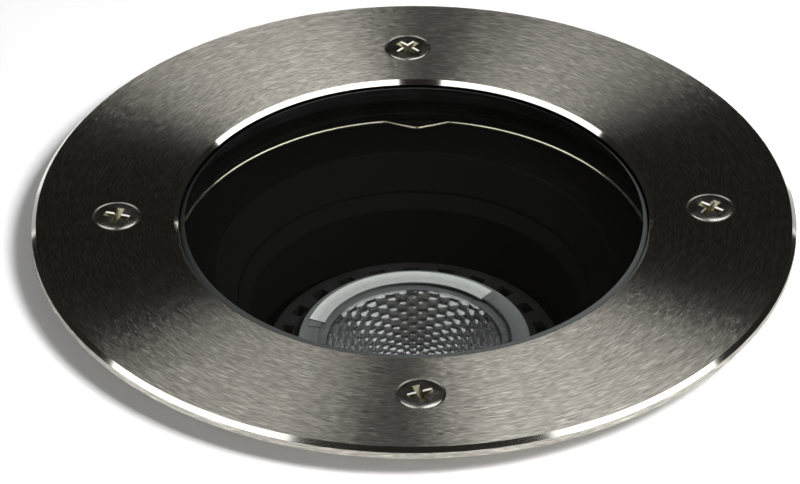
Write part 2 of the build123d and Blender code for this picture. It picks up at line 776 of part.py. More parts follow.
# ================================================================ tilting collar, pivots, bushes
strap_face = strap_reach - strap_thickness
with BuildPart() as lamp_carrier:
    with BuildSketch(Plane.XZ):
        with BuildLine():
            Polyline(
                (collar_bore, collar_top),
                (collar_radius, collar_top),
                (collar_radius, collar_bottom),
                (collar_inner, collar_bottom),
                (collar_inner, collar_under),
                (collar_bore + collar_lip_wall, collar_under),
                (collar_bore + collar_lip_wall, collar_under - collar_lip_height),
                (collar_bore, collar_under - collar_lip_height),
                close=True,
            )
        make_face()
    revolve(axis=Axis.Z)
    fillet(lamp_carrier.edges().group_by(Axis.Z)[-1].sort_by(SortBy.RADIUS)[-1], collar_round)
    with BuildSketch(Plane.XY.offset(collar_top)):
        with PolarLocations(vent_circle_radius, vent_count, start_angle=vent_start):
            Rectangle(vent_width, vent_length)
    extrude(amount=-collar_plate, mode=Mode.SUBTRACT)
    with BuildSketch(Plane.YZ):
        with Locations((0, tilt_level)):
            Circle(pivot_radius + running_gap)
    extrude(amount=2 * collar_radius, both=True, mode=Mode.SUBTRACT)
    with BuildSketch(Plane.XZ):
        with Locations((0, strap_screw_level)):
            Circle(m3_radius + running_gap)
    extrude(amount=2 * collar_radius, both=True, mode=Mode.SUBTRACT)
hand_out(lamp_carrier, "lamp_carrier")

pivot_seat = pan_radius + running_gap
pivot_length = pivot_seat - collar_inner + pivot_inner_reach
pivot_blank = flat_head_screw(pivot_head_radius, pivot_head_height, pivot_radius, pivot_length)
right_side = Plane((pivot_seat, 0, tilt_level), z_dir=(1, 0, 0))
left_side = Plane((-pivot_seat, 0, tilt_level), z_dir=(-1, 0, 0))
with BuildPart() as pivot_screws:
    with Locations(right_side, left_side):
        add(pivot_blank)
hand_out(pivot_screws, "pivot_screws")

bush_start = collar_radius + running_gap
bush_end = sqrt(pan_bore ** 2 - bush_radius ** 2) - running_gap
with BuildPart() as tilt_bushes:
    for side in (-1, 1):
        with BuildSketch(Plane((side * bush_start, 0, tilt_level), z_dir=(side, 0, 0))):
            Circle(bush_radius)
            Circle(pivot_radius + running_gap, mode=Mode.SUBTRACT)
        extrude(amount=bush_end - bush_start)
hand_out(tilt_bushes, "tilt_bushes")

# ================================================================ strap and lampholder
strap_middle = strap_reach - strap_thickness / 2
strap_foot = strap_plate_bottom + strap_thickness / 2
with BuildPart() as lamp_strap:
    with BuildSketch(Plane.YZ):
        with BuildLine():
            FilletPolyline(
                (-strap_middle, strap_top),
                (-strap_middle, strap_foot),
                (strap_middle, strap_foot),
                (strap_middle, strap_top),
                radius=strap_bend,
            )
            offset(amount=strap_thickness / 2, side=Side.BOTH, kind=Kind.ARC)
        make_face()
    extrude(amount=strap_width / 2, both=True)
    with BuildSketch(Plane.XZ):
        with Locations((0, strap_screw_level)):
            Circle(m3_radius + running_gap)
    extrude(amount=2 * strap_reach, both=True, mode=Mode.SUBTRACT)
    with BuildSketch(Plane.XY.offset(strap_plate_top)):
        with Locations((0, -holder_screw_offset), (0, holder_screw_offset)):
            Circle(m3_radius + running_gap)
    extrude(amount=-strap_thickness, mode=Mode.SUBTRACT)
hand_out(lamp_strap, "lamp_strap")

strap_screw_seat = collar_radius + running_gap
strap_screw_length = strap_screw_seat - strap_face + strap_screw_reach
strap_screw_blank = flat_head_screw(m3_head_radius, m3_head_height, m3_radius, strap_screw_length)
back_side = Plane((0, strap_screw_seat, strap_screw_level), z_dir=(0, 1, 0))
front_side = Plane((0, -strap_screw_seat, strap_screw_level), z_dir=(0, -1, 0))
with BuildPart() as strap_screws:
    with Locations(back_side, front_side):
        add(strap_screw_blank)
hand_out(strap_screws, "strap_screws")

with BuildPart() as lampholder:
    with BuildSketch(Plane.XY.offset(holder_bottom)):
        Circle(holder_radius)
    extrude(amount=holder_height)
    fillet(lampholder.edges().group_by(Axis.Z)[-1], holder_round)
    with BuildSketch(Plane.XY.offset(holder_top)):
        for start in (0, half_turn):
            slot_path = CenterArc((0, 0), pin_spacing / 2, start, lamp_turn, mode=Mode.PRIVATE)
            SlotArc(slot_path, 2 * (pin_head_radius + pin_gap))
    extrude(amount=-holder_slot_depth, mode=Mode.SUBTRACT)
    with BuildSketch(Plane.XY.offset(holder_bottom)):
        with Locations((0, -holder_screw_offset), (0, holder_screw_offset)):
            Circle(m3_radius + running_gap)
    extrude(amount=holder_screw_length, mode=Mode.SUBTRACT)
hand_out(lampholder, "lampholder")

holder_screw_blank = flat_head_screw(m3_head_radius, m3_head_height, m3_radius, holder_screw_length)
with BuildPart() as lampholder_screws:
    for side in (-1, 1):
        head_seat = (0, side * holder_screw_offset, strap_plate_bottom - seat_gap)
        with Locations(Plane(head_seat, z_dir=(0, 0, -1))):
            add(holder_screw_blank)
hand_out(lampholder_screws, "lampholder_screws")

# ================================================================ lamp
with BuildPart() as lamp_ring:
    with BuildSketch(Plane.XZ):
        with BuildLine():
            Polyline(
                (lamp_ring_bore, ring_low_top),
                (lamp_ring_radius, ring_low_top),
                (lamp_ring_radius, ring_bottom),
                (lens_radius + slip_gap, ring_bottom),
                (lens_radius + slip_gap, lens_top + seat_gap),
                (lamp_ring_bore, lens_top + seat_gap),
                close=True,
            )
        make_face()
    revolve(axis=Axis.Z)
    fillet(lamp_ring.edges().group_by(Axis.Z)[-1].sort_by(SortBy.RADIUS)[-1], lamp_ring_round)

    # Two raised grips, half a turn apart.
    for start in (arc_start, arc_start + half_turn):
        grip_plane = Plane.XZ.rotated((0, 0, start))
        with BuildSketch(grip_plane):
            with BuildLine():
                Polyline(
                    (lamp_ring_bore, ring_low_top - arc_height / 2),
                    (lamp_ring_radius - lamp_ring_round, ring_low_top - arc_height / 2),
                    (lamp_ring_radius - lamp_ring_round, lamp_top),
                    (lamp_ring_bore, lamp_top - arc_lean),
                    close=True,
                )
            make_face()
        revolve(axis=Axis.Z, revolution_arc=arc_span)
hand_out(lamp_ring, "lamp_ring")

with BuildPart() as lamp_lens:
    with BuildSketch(Plane.XY.offset(lens_bottom)):
        Circle(lens_radius)
    extrude(amount=lens_thickness)
hand_out(lamp_lens, "lamp_lens")


def dish_level(radius):
    """Height of the reflector's inner face, a parabola, at a radius."""
    return reflector_top - reflector_depth * (1 - (radius / reflector_mouth) ** 2)


dish_middle = (reflector_mouth + reflector_foot) / 2
with BuildPart() as lamp_reflector:
    with BuildSketch(Plane.XZ):
        with BuildLine():
            mouth = (reflector_mouth, reflector_top)
            foot = (reflector_foot, reflector_bottom)
            foot_back = (reflector_foot, reflector_bottom - reflector_wall)
            back_start = (reflector_mouth + reflector_wall, reflector_top - reflector_wall)
            ThreePointArc(mouth, (dish_middle, dish_level(dish_middle)), foot)
            Line(foot, foot_back)
            back_middle = (dish_middle + reflector_wall / 2, dish_level(dish_middle) - reflector_wall)
            ThreePointArc(foot_back, back_middle, back_start)
            Polyline(
                back_start,
                (reflector_rim_radius, reflector_top - reflector_wall),
                (reflector_rim_radius, reflector_top),
                mouth,
            )
        make_face()
    revolve(axis=Axis.Z)
hand_out(lamp_reflector, "lamp_reflector")

with BuildPart() as lamp_led:
    with BuildSketch(Plane.XY.offset(board_bottom)):
        Circle(led_board_radius)
    extrude(amount=led_board_thickness)
    with BuildSketch(Plane.XY.offset(board_top)):
        Circle(led_radius)
    extrude(amount=led_height)
hand_out(lamp_led, "lamp_led")

heat_sink_shoulder = lamp_ring_radius - lamp_ring_round
cavity_floor = board_bottom - seat_gap
sink_middle_radius = (heat_sink_shoulder + heat_sink_neck) / 2 + heat_sink_belly
sink_middle = (sink_middle_radius, (heat_sink_top + heat_sink_bottom) / 2)
with BuildPart() as lamp_shell:
    with BuildSketch(Plane.XZ):
        with BuildLine():
            sink_foot = (heat_sink_neck, heat_sink_bottom)
            ThreePointArc((heat_sink_shoulder, heat_sink_top), sink_middle, sink_foot)
            Polyline(
                sink_foot,
                (0, heat_sink_bottom),
                (0, cavity_floor),
                (led_board_radius + slip_gap, cavity_floor),
                (led_board_radius + slip_gap, board_top),
                (lens_radius - slip_gap, reflector_top - reflector_wall - slip_gap),
                (lens_radius - slip_gap, heat_sink_top),
                (heat_sink_shoulder, heat_sink_top),
            )
        make_face()
    revolve(axis=Axis.Z)

    # Slots between the heat sink's fins, cut from the outside below the shoulder.
    with BuildSketch(Plane.XY.offset(cavity_floor - lamp_web)):
        with PolarLocations(heat_sink_neck + lamp_fin_depth, lamp_fin_count):
            Rectangle(4 * lamp_fin_depth, lamp_fin_slot)
    extrude(amount=heat_sink_bottom + lamp_web - (cavity_floor - lamp_web), mode=Mode.SUBTRACT)
hand_out(lamp_shell, "lamp_shell")

with BuildPart() as lamp_base:
    with BuildSketch(Plane.XY.offset(base_bottom)):
        Circle(lamp_base_foot_radius)
    with BuildSketch(Plane.XY.offset(base_bottom + lamp_base_height / 2)):
        Circle(lamp_base_radius)
    loft()
    with BuildSketch(Plane.XY.offset(base_bottom + lamp_base_height / 2)):
        Circle(lamp_base_radius)
    extrude(amount=lamp_base_height / 2)
hand_out(lamp_base, "lamp_base")

with BuildPart() as lamp_pins:
    with BuildSketch(Plane.XY.offset(base_bottom)):
        with Locations((-pin_spacing / 2, 0), (pin_spacing / 2, 0)):
            Circle(pin_neck_radius)
    extrude(amount=-pin_length)
    with BuildSketch(Plane.XY.offset(base_bottom - pin_length)):
        with Locations((-pin_spacing / 2, 0), (pin_spacing / 2, 0)):
            Circle(pin_head_radius)
    extrude(amount=pin_head_height)
hand_out(lamp_pins, "lamp_pins")

# ================================================================ wiring in the pot
insert_level = block_bottom + insert_radius + insert_foot
with BuildPart() as terminal_block:
    with BuildSketch(Plane.YZ.offset(-block_length / 2)):
        with BuildLine():
            Polyline(
                (-block_width / 2, block_bottom),
                (block_width / 2, block_bottom),
                (block_width / 2, block_shoulder),
                (block_width / 2 - block_step / 2, block_top),
                (block_step / 2 - block_width / 2, block_top),
                (-block_width / 2, block_shoulder),
                close=True,
            )
        make_face()
    extrude(amount=block_length)
    with BuildSketch(Plane.XZ):
        with Locations((0, insert_level)):
            with GridLocations(block_pitch, 1, block_poles, 1):
                Circle(insert_radius + insert_gap)
    extrude(amount=block_width, both=True, mode=Mode.SUBTRACT)
    with BuildSketch(Plane.XY.offset(block_top)):
        with GridLocations(block_pitch, 2 * terminal_screw_offset, block_poles, 2):
            Circle(terminal_screw_radius + 2 * insert_gap)
    extrude(amount=insert_level - block_top, mode=Mode.SUBTRACT)
    with BuildSketch(Plane.XY.offset(block_top)):
        with Locations((block_pitch / 2, 0)):
            Circle(m3_radius + running_gap)
    extrude(amount=-block_height, mode=Mode.SUBTRACT)
hand_out(terminal_block, "terminal_block")

with BuildPart() as terminal_inserts:
    with BuildSketch(Plane.XZ.offset(insert_end_gap - block_width / 2)):
        with Locations((0, insert_level)):
            with GridLocations(block_pitch, 1, block_poles, 1):
                Circle(insert_radius)
                Circle(wire_hole_radius, mode=Mode.SUBTRACT)
    extrude(amount=block_width - 2 * insert_end_gap)
    with BuildSketch(Plane.XY.offset(insert_level + insert_radius)):
        with GridLocations(block_pitch, 2 * terminal_screw_offset, block_poles, 2):
            Circle(terminal_screw_radius + running_gap)
    extrude(amount=-insert_radius, mode=Mode.SUBTRACT)
hand_out(terminal_inserts, "terminal_inserts")

terminal_screw_top = block_top - terminal_screw_sink
with BuildPart() as terminal_screws:
    with BuildSketch(Plane.XY.offset(terminal_screw_top)):
        with GridLocations(block_pitch, 2 * terminal_screw_offset, block_poles, 2):
            Circle(terminal_screw_radius)
    extrude(amount=insert_level + wire_hole_radius - terminal_screw_top)
    with BuildSketch(Plane.XY.offset(terminal_screw_top)):
        with GridLocations(block_pitch, 2 * terminal_screw_offset, block_poles, 2):
            Rectangle(2 * terminal_screw_radius, slot_width / 2)
    extrude(amount=-slot_depth, mode=Mode.SUBTRACT)
hand_out(terminal_screws, "terminal_screws")

fixing_screw_length = block_height + fixing_screw_depth
fixing_blank = flat_head_screw(m3_head_radius, m3_head_height, m3_radius, fixing_screw_length)
with BuildPart() as terminal_fixing_screw:
    with Locations((block_pitch / 2, 0, block_top + seat_gap)):
        add(fixing_blank)
hand_out(terminal_fixing_screw, "terminal_fixing_screw")

with BuildPart() as earth_washer:
    with BuildSketch(Plane.XY.offset(earth_boss_top + seat_gap)):
        with Locations((earth_offset, 0)):
            Circle(earth_washer_radius)
            Circle(earth_screw_radius + running_gap, mode=Mode.SUBTRACT)
    extrude(amount=earth_washer_thickness)
hand_out(earth_washer, "earth_washer")

earth_head_seat = earth_boss_top + earth_washer_thickness + 2 * seat_gap
earth_shank = earth_screw_length - slip_gap
earth_blank = flat_head_screw(earth_head_radius, earth_head_height, earth_screw_radius, earth_shank)
with BuildPart() as earth_screw:
    with Locations((earth_offset, 0, earth_head_seat)):
        add(earth_blank)
hand_out(earth_screw, "earth_screw")

# ================================================================ cable gland and blanking plug
with BuildPart() as gland_body:
    with BuildSketch(Plane.XY.offset(hex_bottom)):
        with Locations((0, -entry_offset)):
            RegularPolygon(hex_across_flats / 2, 6, major_radius=False)
    extrude(amount=gland_hex_height)
    with BuildSketch(Plane.XY.offset(hex_top)):
        with Locations((0, -entry_offset)):
            Circle(entry_thread_radius)
    extrude(amount=pot_floor + entry_inner_reach - hex_top)
    with BuildSketch(Plane.XY.offset(hex_bottom)):
        with Locations((0, -entry_offset)):
            Circle(gland_neck_radius)
    extrude(amount=-gland_neck_length)
    with BuildSketch(Plane.XY.offset(neck_bottom)):
        with Locations((0, -entry_offset)):
            Circle(gland_bore)
    extrude(amount=pot_floor + entry_inner_reach - neck_bottom, mode=Mode.SUBTRACT)
hand_out(gland_body, "gland_body")

with BuildPart() as gland_seal:
    with BuildSketch(Plane.XY.offset(seal_bottom)):
        with Locations((0, -entry_offset)):
            Circle(gland_bore - running_gap)
            Circle(seal_bore, mode=Mode.SUBTRACT)
    extrude(amount=seal_length)
hand_out(gland_seal, "gland_seal")

nut_flat = gland_nut_across_flats / 2
with BuildPart() as gland_nut:
    with BuildSketch(Plane.XY.offset(nut_bottom)):
        with Locations((0, -entry_offset)):
            RegularPolygon(nut_flat, 6, major_radius=False)
    extrude(amount=gland_nut_length)
    with BuildSketch(Plane.XZ.offset(entry_offset)):
        with BuildLine():
            Polyline(
                (gland_nut_mouth + gland_nut_dome, nut_bottom - cut_margin),
                (gland_nut_mouth + gland_nut_dome, nut_bottom),
                (nut_flat, nut_bottom + gland_nut_dome),
                (nut_flat, nut_top + cut_margin),
                (2 * nut_flat, nut_top + cut_margin),
                (2 * nut_flat, nut_bottom - cut_margin),
                close=True,
            )
        make_face()
    revolve(axis=Axis((0, -entry_offset, 0), (0, 0, 1)), mode=Mode.SUBTRACT)
    with BuildSketch(Plane.XY.offset(nut_bottom)):
        with Locations((0, -entry_offset)):
            Circle(gland_nut_mouth)
    extrude(amount=gland_nut_length, mode=Mode.SUBTRACT)
    with BuildSketch(Plane.XY.offset(nut_shoulder)):
        with Locations((0, -entry_offset)):
            Circle(gland_neck_radius + running_gap)
    extrude(amount=gland_nut_length, mode=Mode.SUBTRACT)
hand_out(gland_nut, "gland_nut")

for name, place in (("gland_washer", -entry_offset), ("plug_washer", entry_offset)):
    with BuildPart() as entry_washer:
        with BuildSketch(Plane.XY.offset(washer_bottom)):
            with Locations((0, place)):
                Circle(entry_washer_radius)
                Circle(entry_thread_radius + running_gap, mode=Mode.SUBTRACT)
        extrude(amount=entry_washer_thickness)
    hand_out(entry_washer, name)

with BuildPart() as blanking_plug:
    with BuildSketch(Plane.XY.offset(hex_top - plug_head_height)):
        with Locations((0, entry_offset)):
            RegularPolygon(hex_across_flats / 2, 6, major_radius=False)
    extrude(amount=plug_head_height)
    with BuildSketch(Plane.XY.offset(hex_top)):
        with Locations((0, entry_offset)):
            Circle(entry_thread_radius)
    extrude(amount=pot_floor + entry_inner_reach - hex_top)
hand_out(blanking_plug, "blanking_plug")
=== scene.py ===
# %% [markdown]
# An in ground well light: a brushed steel bezel and a stepped window close a black pot, and a
# mirror lamp sits deep inside it. The solids come from the CAD part. This lesson loads them as a
# fixed frame, dresses them with finishes made of nodes, and models the pieces whose fine shape the
# solids leave out, such as the lamp's dimpled mirror.

# %% Load the frame
from math import asin, atan2, cos, log, pi, radians, sin, sqrt

import bpy
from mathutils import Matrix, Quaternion, Vector


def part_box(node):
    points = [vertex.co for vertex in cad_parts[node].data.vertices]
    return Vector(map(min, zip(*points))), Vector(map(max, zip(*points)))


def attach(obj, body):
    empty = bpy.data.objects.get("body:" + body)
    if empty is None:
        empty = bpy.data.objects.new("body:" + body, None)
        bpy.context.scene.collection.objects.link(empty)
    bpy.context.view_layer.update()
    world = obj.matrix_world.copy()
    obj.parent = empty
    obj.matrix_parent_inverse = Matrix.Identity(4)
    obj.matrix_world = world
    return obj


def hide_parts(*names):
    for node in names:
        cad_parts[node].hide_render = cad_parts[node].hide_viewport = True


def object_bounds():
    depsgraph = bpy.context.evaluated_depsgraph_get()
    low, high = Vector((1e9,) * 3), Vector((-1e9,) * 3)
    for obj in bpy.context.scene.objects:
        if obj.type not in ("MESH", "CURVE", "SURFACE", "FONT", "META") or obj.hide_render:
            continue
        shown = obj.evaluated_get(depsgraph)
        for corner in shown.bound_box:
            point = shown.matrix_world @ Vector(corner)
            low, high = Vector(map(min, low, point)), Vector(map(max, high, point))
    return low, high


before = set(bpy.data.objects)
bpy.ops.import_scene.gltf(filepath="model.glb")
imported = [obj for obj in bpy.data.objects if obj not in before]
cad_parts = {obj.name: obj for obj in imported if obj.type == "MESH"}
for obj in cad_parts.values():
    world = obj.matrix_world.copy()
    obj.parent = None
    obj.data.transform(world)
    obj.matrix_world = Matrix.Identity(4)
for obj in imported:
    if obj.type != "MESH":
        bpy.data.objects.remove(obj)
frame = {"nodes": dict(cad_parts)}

cad_low, cad_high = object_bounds()
nodes = frame["nodes"]
mm = 0.001
print("CAD nodes:", len(nodes), "box in mm:", [round(v / mm, 1) for v in (*cad_low, *cad_high)])

# %% [markdown]
# The camera stands as the photographer's did: about a metre away, 35.5 degrees above the paving,
# with a long lens. The photograph is seen through a plain pinhole, so its place comes from where
# the bezel's circle and its four screws appear in the picture. The bezel's middle lies a little
# off the picture's middle, so the camera aims at a point beside it, and a slight roll remains.

# %% Camera
camera_place = Vector((-16.71, -804.28, 576.95)) * mm
camera_target = Vector((-3.12, -10.62, 2.5)) * mm
camera_roll = radians(-0.225)
camera_lens = 212.4           # millimetres, for a sensor 36 mm wide
nearest_seen = 0.01           # metres

bpy.ops.object.select_all(action="DESELECT")
bpy.ops.object.camera_add(location=camera_place)
camera = bpy.context.object
camera.data.lens = camera_lens
camera.data.clip_start = nearest_seen
camera.rotation_mode = "QUATERNION"
aim = (camera_target - camera_place).to_track_quat("-Z", "Y")
camera.rotation_quaternion = aim @ Quaternion((0, 0, 1), camera_roll)
bpy.context.scene.camera = camera
print("camera stands", round((camera_target - camera_place).length, 3), "m away")

# %% [markdown]
# The paving and the floor are matt white. White in soft light comes out grey, so each glows a
# little as well. It could be lit more strongly, but then the object would be too. The glow is there
# only where the surface is seen, directly, in metal or through glass, so it lights nothing, and
# the object's shadow still shows on it.

# %% Pale ground
def blank_finish(name, colour, roughness, metallic=0.0):
    """A new material with one main shader. Returns it with its nodes, its links and that shader."""
    finish = bpy.data.materials.new(name)
    finish.use_nodes = True
    shader = finish.node_tree.nodes["Principled BSDF"]
    shader.inputs["Base Color"].default_value = (*colour, 1)
    shader.inputs["Roughness"].default_value = roughness
    shader.inputs["Metallic"].default_value = metallic
    return finish, finish.node_tree.nodes, finish.node_tree.links, shader


def maths(nodes, links, operation, *values):
    """A maths node that works on sockets and plain numbers. Returns its result."""
    step = nodes.new("ShaderNodeMath")
    step.operation = operation
    for socket, value in zip(step.inputs, values):
        if isinstance(value, (int, float)):
            socket.default_value = value
        else:
            links.new(value, socket)
    return step.outputs[0]


def where_seen(nodes, links):
    """A socket that is 1 where a surface is seen directly, in metal or through glass."""
    path = nodes.new("ShaderNodeLightPath").outputs
    in_sight = maths(nodes, links, "MAXIMUM", path["Is Camera Ray"], path["Is Glossy Ray"])
    return maths(nodes, links, "MAXIMUM", in_sight, path["Is Transmission Ray"])


def pale_ground(name, glow):
    """A matt white that glows a little where it is seen, so that it meets the white background."""
    finish, nodes, links, shader = blank_finish(name, (0.93, 0.93, 0.93), 0.9)
    shader.inputs["Specular IOR Level"].default_value = 0.0
    shader.inputs["Emission Color"].default_value = (1, 1, 1, 1)
    strength = maths(nodes, links, "MULTIPLY", where_seen(nodes, links), glow)
    links.new(strength, shader.inputs["Emission Strength"])
    return finish


paving_white = pale_ground("paving_white", 0.09)
floor_white = pale_ground("floor_white", 0.30)
print("ground:", paving_white.name, floor_white.name)

# %% [markdown]
# The paving is a thin square panel just under the bezel's rim, with a round hole for the sleeve,
# which hangs below it. It could be a plane with a hole cut into it. Here a circle is extruded
# outwards and its points are held inside a square, which gives the same sheet without a cut. The
# panel throws no shadow, so what it hides from above is lit as well.

# %% Paving
paving_drop = 5.0 * mm        # below the bezel's underside
paving_half_width = 100.0 * mm
paving_hole = 71.0 * mm       # just wider than the sleeve
paving_stretch = 2.1          # takes the circle past the square's corners

bpy.ops.object.select_all(action="DESELECT")
bpy.ops.mesh.primitive_circle_add(vertices=128, radius=paving_hole, location=(0, 0, -paving_drop))
paving = bpy.context.object
paving.name = "paving"
bpy.ops.object.transform_apply(location=True)
bpy.ops.object.mode_set(mode="EDIT")
bpy.ops.mesh.select_all(action="SELECT")
bpy.ops.mesh.extrude_region_move()
bpy.ops.transform.resize(value=(paving_stretch, paving_stretch, 1), center_override=(0, 0, 0))
bpy.ops.object.mode_set(mode="OBJECT")
for point in paving.data.vertices:
    point.co.x = max(-paving_half_width, min(paving_half_width, point.co.x))
    point.co.y = max(-paving_half_width, min(paving_half_width, point.co.y))
paving.data.materials.append(paving_white)
paving.visible_shadow = False
print(paving.name, len(paving.data.polygons), "faces")

# %% [markdown]
# The floor is one wide plane under the sleeve's foot. It reaches far past the picture on all
# sides, so no edge of it shows.

# %% Floor
floor_level = cad_low.z - 0.2 * mm
floor_width = 12.0            # metres

bpy.ops.object.select_all(action="DESELECT")
bpy.ops.mesh.primitive_plane_add(size=floor_width, location=(0, 0, floor_level))
floor = bpy.context.object
floor.name = "floor"
floor.data.materials.append(floor_white)
print(floor.name, "at", round(floor_level / mm, 1), "mm")

# %% [markdown]
# The room is filled with soft pale light. It looks white wherever it is seen, in the picture, in
# metal or in glass, and lights the object more gently. One plain white world could do both jobs,
# but then the object would be lit flat from all sides, and the shadow on the paving would fade.

# %% World
soft_level = 0.18             # how strongly the room lights the object, where 1 is white

world = bpy.data.worlds.new("studio_air")
bpy.context.scene.world = world
world.use_nodes = True
air_nodes, air_links = world.node_tree.nodes, world.node_tree.links
sky = air_nodes["Background"]
sky.inputs["Color"].default_value = (1, 1, 1, 1)
seen = where_seen(air_nodes, air_links)
brightness = maths(air_nodes, air_links, "MULTIPLY_ADD", seen, 1 - soft_level, soft_level)
air_links.new(brightness, sky.inputs["Strength"])
bpy.context.scene.view_settings.view_transform = "Standard"
print("world:", world.name)

# %% [markdown]
# Steel shows what stands round it. The photograph's bezel is dark with four bright fans, so its
# studio was dark with a large soft lamp overhead on each side and a gap between them. Two wide
# ceiling lamps do that here. They light nothing but mirrors and glass. A third, smaller lamp at
# the right throws the soft shadow on the paving, and is kept out of the reflections. The same
# lamps could do both, but then the fans and the shadow couldn't be set apart from each other.

# %% Lamps
def soft_lamp(name, place, target, width, depth, glow):
    """A rectangular lamp that shines at a target. Its glow is how bright it looks: 1 is white."""
    bpy.ops.object.select_all(action="DESELECT")
    bpy.ops.object.light_add(type="AREA", location=place)
    lamp = bpy.context.object
    lamp.name = name
    lamp.rotation_mode = "QUATERNION"
    lamp.rotation_quaternion = (Vector(target) - Vector(place)).to_track_quat("-Z", "Y")
    lamp.data.shape = "RECTANGLE"
    lamp.data.size = width
    lamp.data.size_y = depth
    lamp.data.energy = glow * pi * width * depth
    lamp.visible_camera = False
    return lamp


ceiling = 0.9                 # metres above the paving


def ceiling_lamp(name, left, right, front, back, glow):
    """A soft lamp that lies flat overhead, for its reflections alone. Sizes are in metres."""
    place = ((left + right) / 2, (front + back) / 2, ceiling)
    straight_down = (place[0], place[1], 0)
    lamp = soft_lamp(name, place, straight_down, right - left, back - front, glow)
    lamp.visible_diffuse = False
    return lamp


right_lamp = ceiling_lamp("right_lamp", left=0.08, right=1.75, front=-0.68, back=0.50, glow=2.0)
left_lamp = ceiling_lamp("left_lamp", left=-1.75, right=-0.18, front=-0.68, back=0.36, glow=1.8)

key_place = (0.42, -0.30, 0.65)
key_width = 0.27
key_glow = 40.0
key_lamp = soft_lamp("key_lamp", key_place, (0, 0, 0), key_width, key_width, key_glow)
key_lamp.visible_glossy = False
key_lamp.visible_transmission = False
print("lamps:", right_lamp.name, left_lamp.name, key_lamp.name)

# %% [markdown]
# A tent of dark cloth stands over the object and the lamps, which only mirrors and glass see.
# Without it the steel would show the white room between the lamps. It is half a sphere whose faces
# point inwards.

# %% Tent
tent_radius = 2.4             # metres
tent_glow = (0.018, 0.0172, 0.015, 1)

bpy.ops.object.select_all(action="DESELECT")
bpy.ops.mesh.primitive_uv_sphere_add(segments=48, ring_count=24, radius=tent_radius)
tent = bpy.context.object
tent.name = "dark_tent"
bpy.ops.object.mode_set(mode="EDIT")
bpy.ops.mesh.select_all(action="SELECT")
bpy.ops.mesh.bisect(plane_co=(0, 0, 0), plane_no=(0, 0, 1), clear_inner=True)
bpy.ops.mesh.select_all(action="SELECT")
bpy.ops.mesh.flip_normals()
bpy.ops.object.mode_set(mode="OBJECT")
cloth, *_, cloth_shader = blank_finish("tent_cloth", (0, 0, 0), 1.0)
cloth_shader.inputs["Specular IOR Level"].default_value = 0.0
cloth_shader.inputs["Emission Color"].default_value = tent_glow
cloth_shader.inputs["Emission Strength"].default_value = 1.0
tent.data.materials.append(cloth)
tent.visible_camera = False
tent.visible_diffuse = False
tent.visible_shadow = False
print(tent.name, len(tent.data.polygons), "faces")

# %% [markdown]
# The finishes need a few patterns: noise, a ramp that turns a grey into colours, a fine relief,
# and strokes that run round the Z axis, as a lathe leaves them. Such strokes could be a picture
# wrapped round the piece. Here they are noise, read at places that change slowly round the axis
# and fast in radius and height, so they are sharp from near and have no seam.

# %% Patterns
def polar_place(nodes, links, around, outwards, up):
    """A place for noise, from factors for the way round the Z axis, the radius and the height."""
    place = nodes.new("ShaderNodeTexCoord").outputs["Object"]
    parts = nodes.new("ShaderNodeSeparateXYZ")
    links.new(place, parts.inputs[0])
    flat = nodes.new("ShaderNodeVectorMath")
    flat.operation = "MULTIPLY"
    flat.inputs[1].default_value = (1, 1, 0)
    links.new(place, flat.inputs[0])
    length = nodes.new("ShaderNodeVectorMath")
    length.operation = "LENGTH"
    links.new(flat.outputs[0], length.inputs[0])
    unit = nodes.new("ShaderNodeVectorMath")
    unit.operation = "NORMALIZE"
    links.new(flat.outputs[0], unit.inputs[0])
    spread = nodes.new("ShaderNodeVectorMath")
    spread.operation = "SCALE"
    spread.inputs["Scale"].default_value = around
    links.new(unit.outputs[0], spread.inputs[0])
    rise = maths(nodes, links, "MULTIPLY", length.outputs["Value"], outwards)
    height = maths(nodes, links, "MULTIPLY_ADD", parts.outputs["Z"], up, rise)
    lift = nodes.new("ShaderNodeCombineXYZ")
    links.new(height, lift.inputs["Z"])
    total = nodes.new("ShaderNodeVectorMath")
    links.new(spread.outputs[0], total.inputs[0])
    links.new(lift.outputs[0], total.inputs[1])
    return total.outputs[0]


def noise(nodes, links, place, scale, detail=2.0, roughness=0.5):
    """A noise texture, read at a place or else on the piece itself. Returns its grey output."""
    texture = nodes.new("ShaderNodeTexNoise")
    texture.inputs["Scale"].default_value = scale
    texture.inputs["Detail"].default_value = detail
    texture.inputs["Roughness"].default_value = roughness
    if not place:
        place = nodes.new("ShaderNodeTexCoord").outputs["Object"]
    links.new(place, texture.inputs["Vector"])
    return texture.outputs["Fac"]


def strokes(nodes, links, around, outwards, up, scale=1.0, detail=2.0, roughness=0.5):
    """Noise drawn out into strokes round the Z axis."""
    place = polar_place(nodes, links, around, outwards, up)
    return noise(nodes, links, place, scale, detail, roughness)


def rgba(value):
    """A colour with its fourth number, from a colour or a plain grey."""
    return (*value, 1) if isinstance(value, tuple) else (value, value, value, 1)


def ramp(nodes, links, grey, low, high, start=0.3, end=0.7):
    """Turns a grey into values or colours: low up to start, high from end on."""
    stops = nodes.new("ShaderNodeValToRGB")
    first, last = stops.color_ramp.elements
    first.position, last.position = start, end
    first.color, last.color = rgba(low), rgba(high)
    links.new(grey, stops.inputs["Fac"])
    return stops.outputs["Color"]


def blended(nodes, links, how, first, second):
    """Adds or multiplies two colours in full. Returns the result."""
    mix = nodes.new("ShaderNodeMix")
    mix.data_type = "RGBA"
    mix.blend_type = how
    mix.inputs["Factor"].default_value = 1.0
    links.new(first, mix.inputs["A"])
    links.new(second, mix.inputs["B"])
    return mix.outputs["Result"]


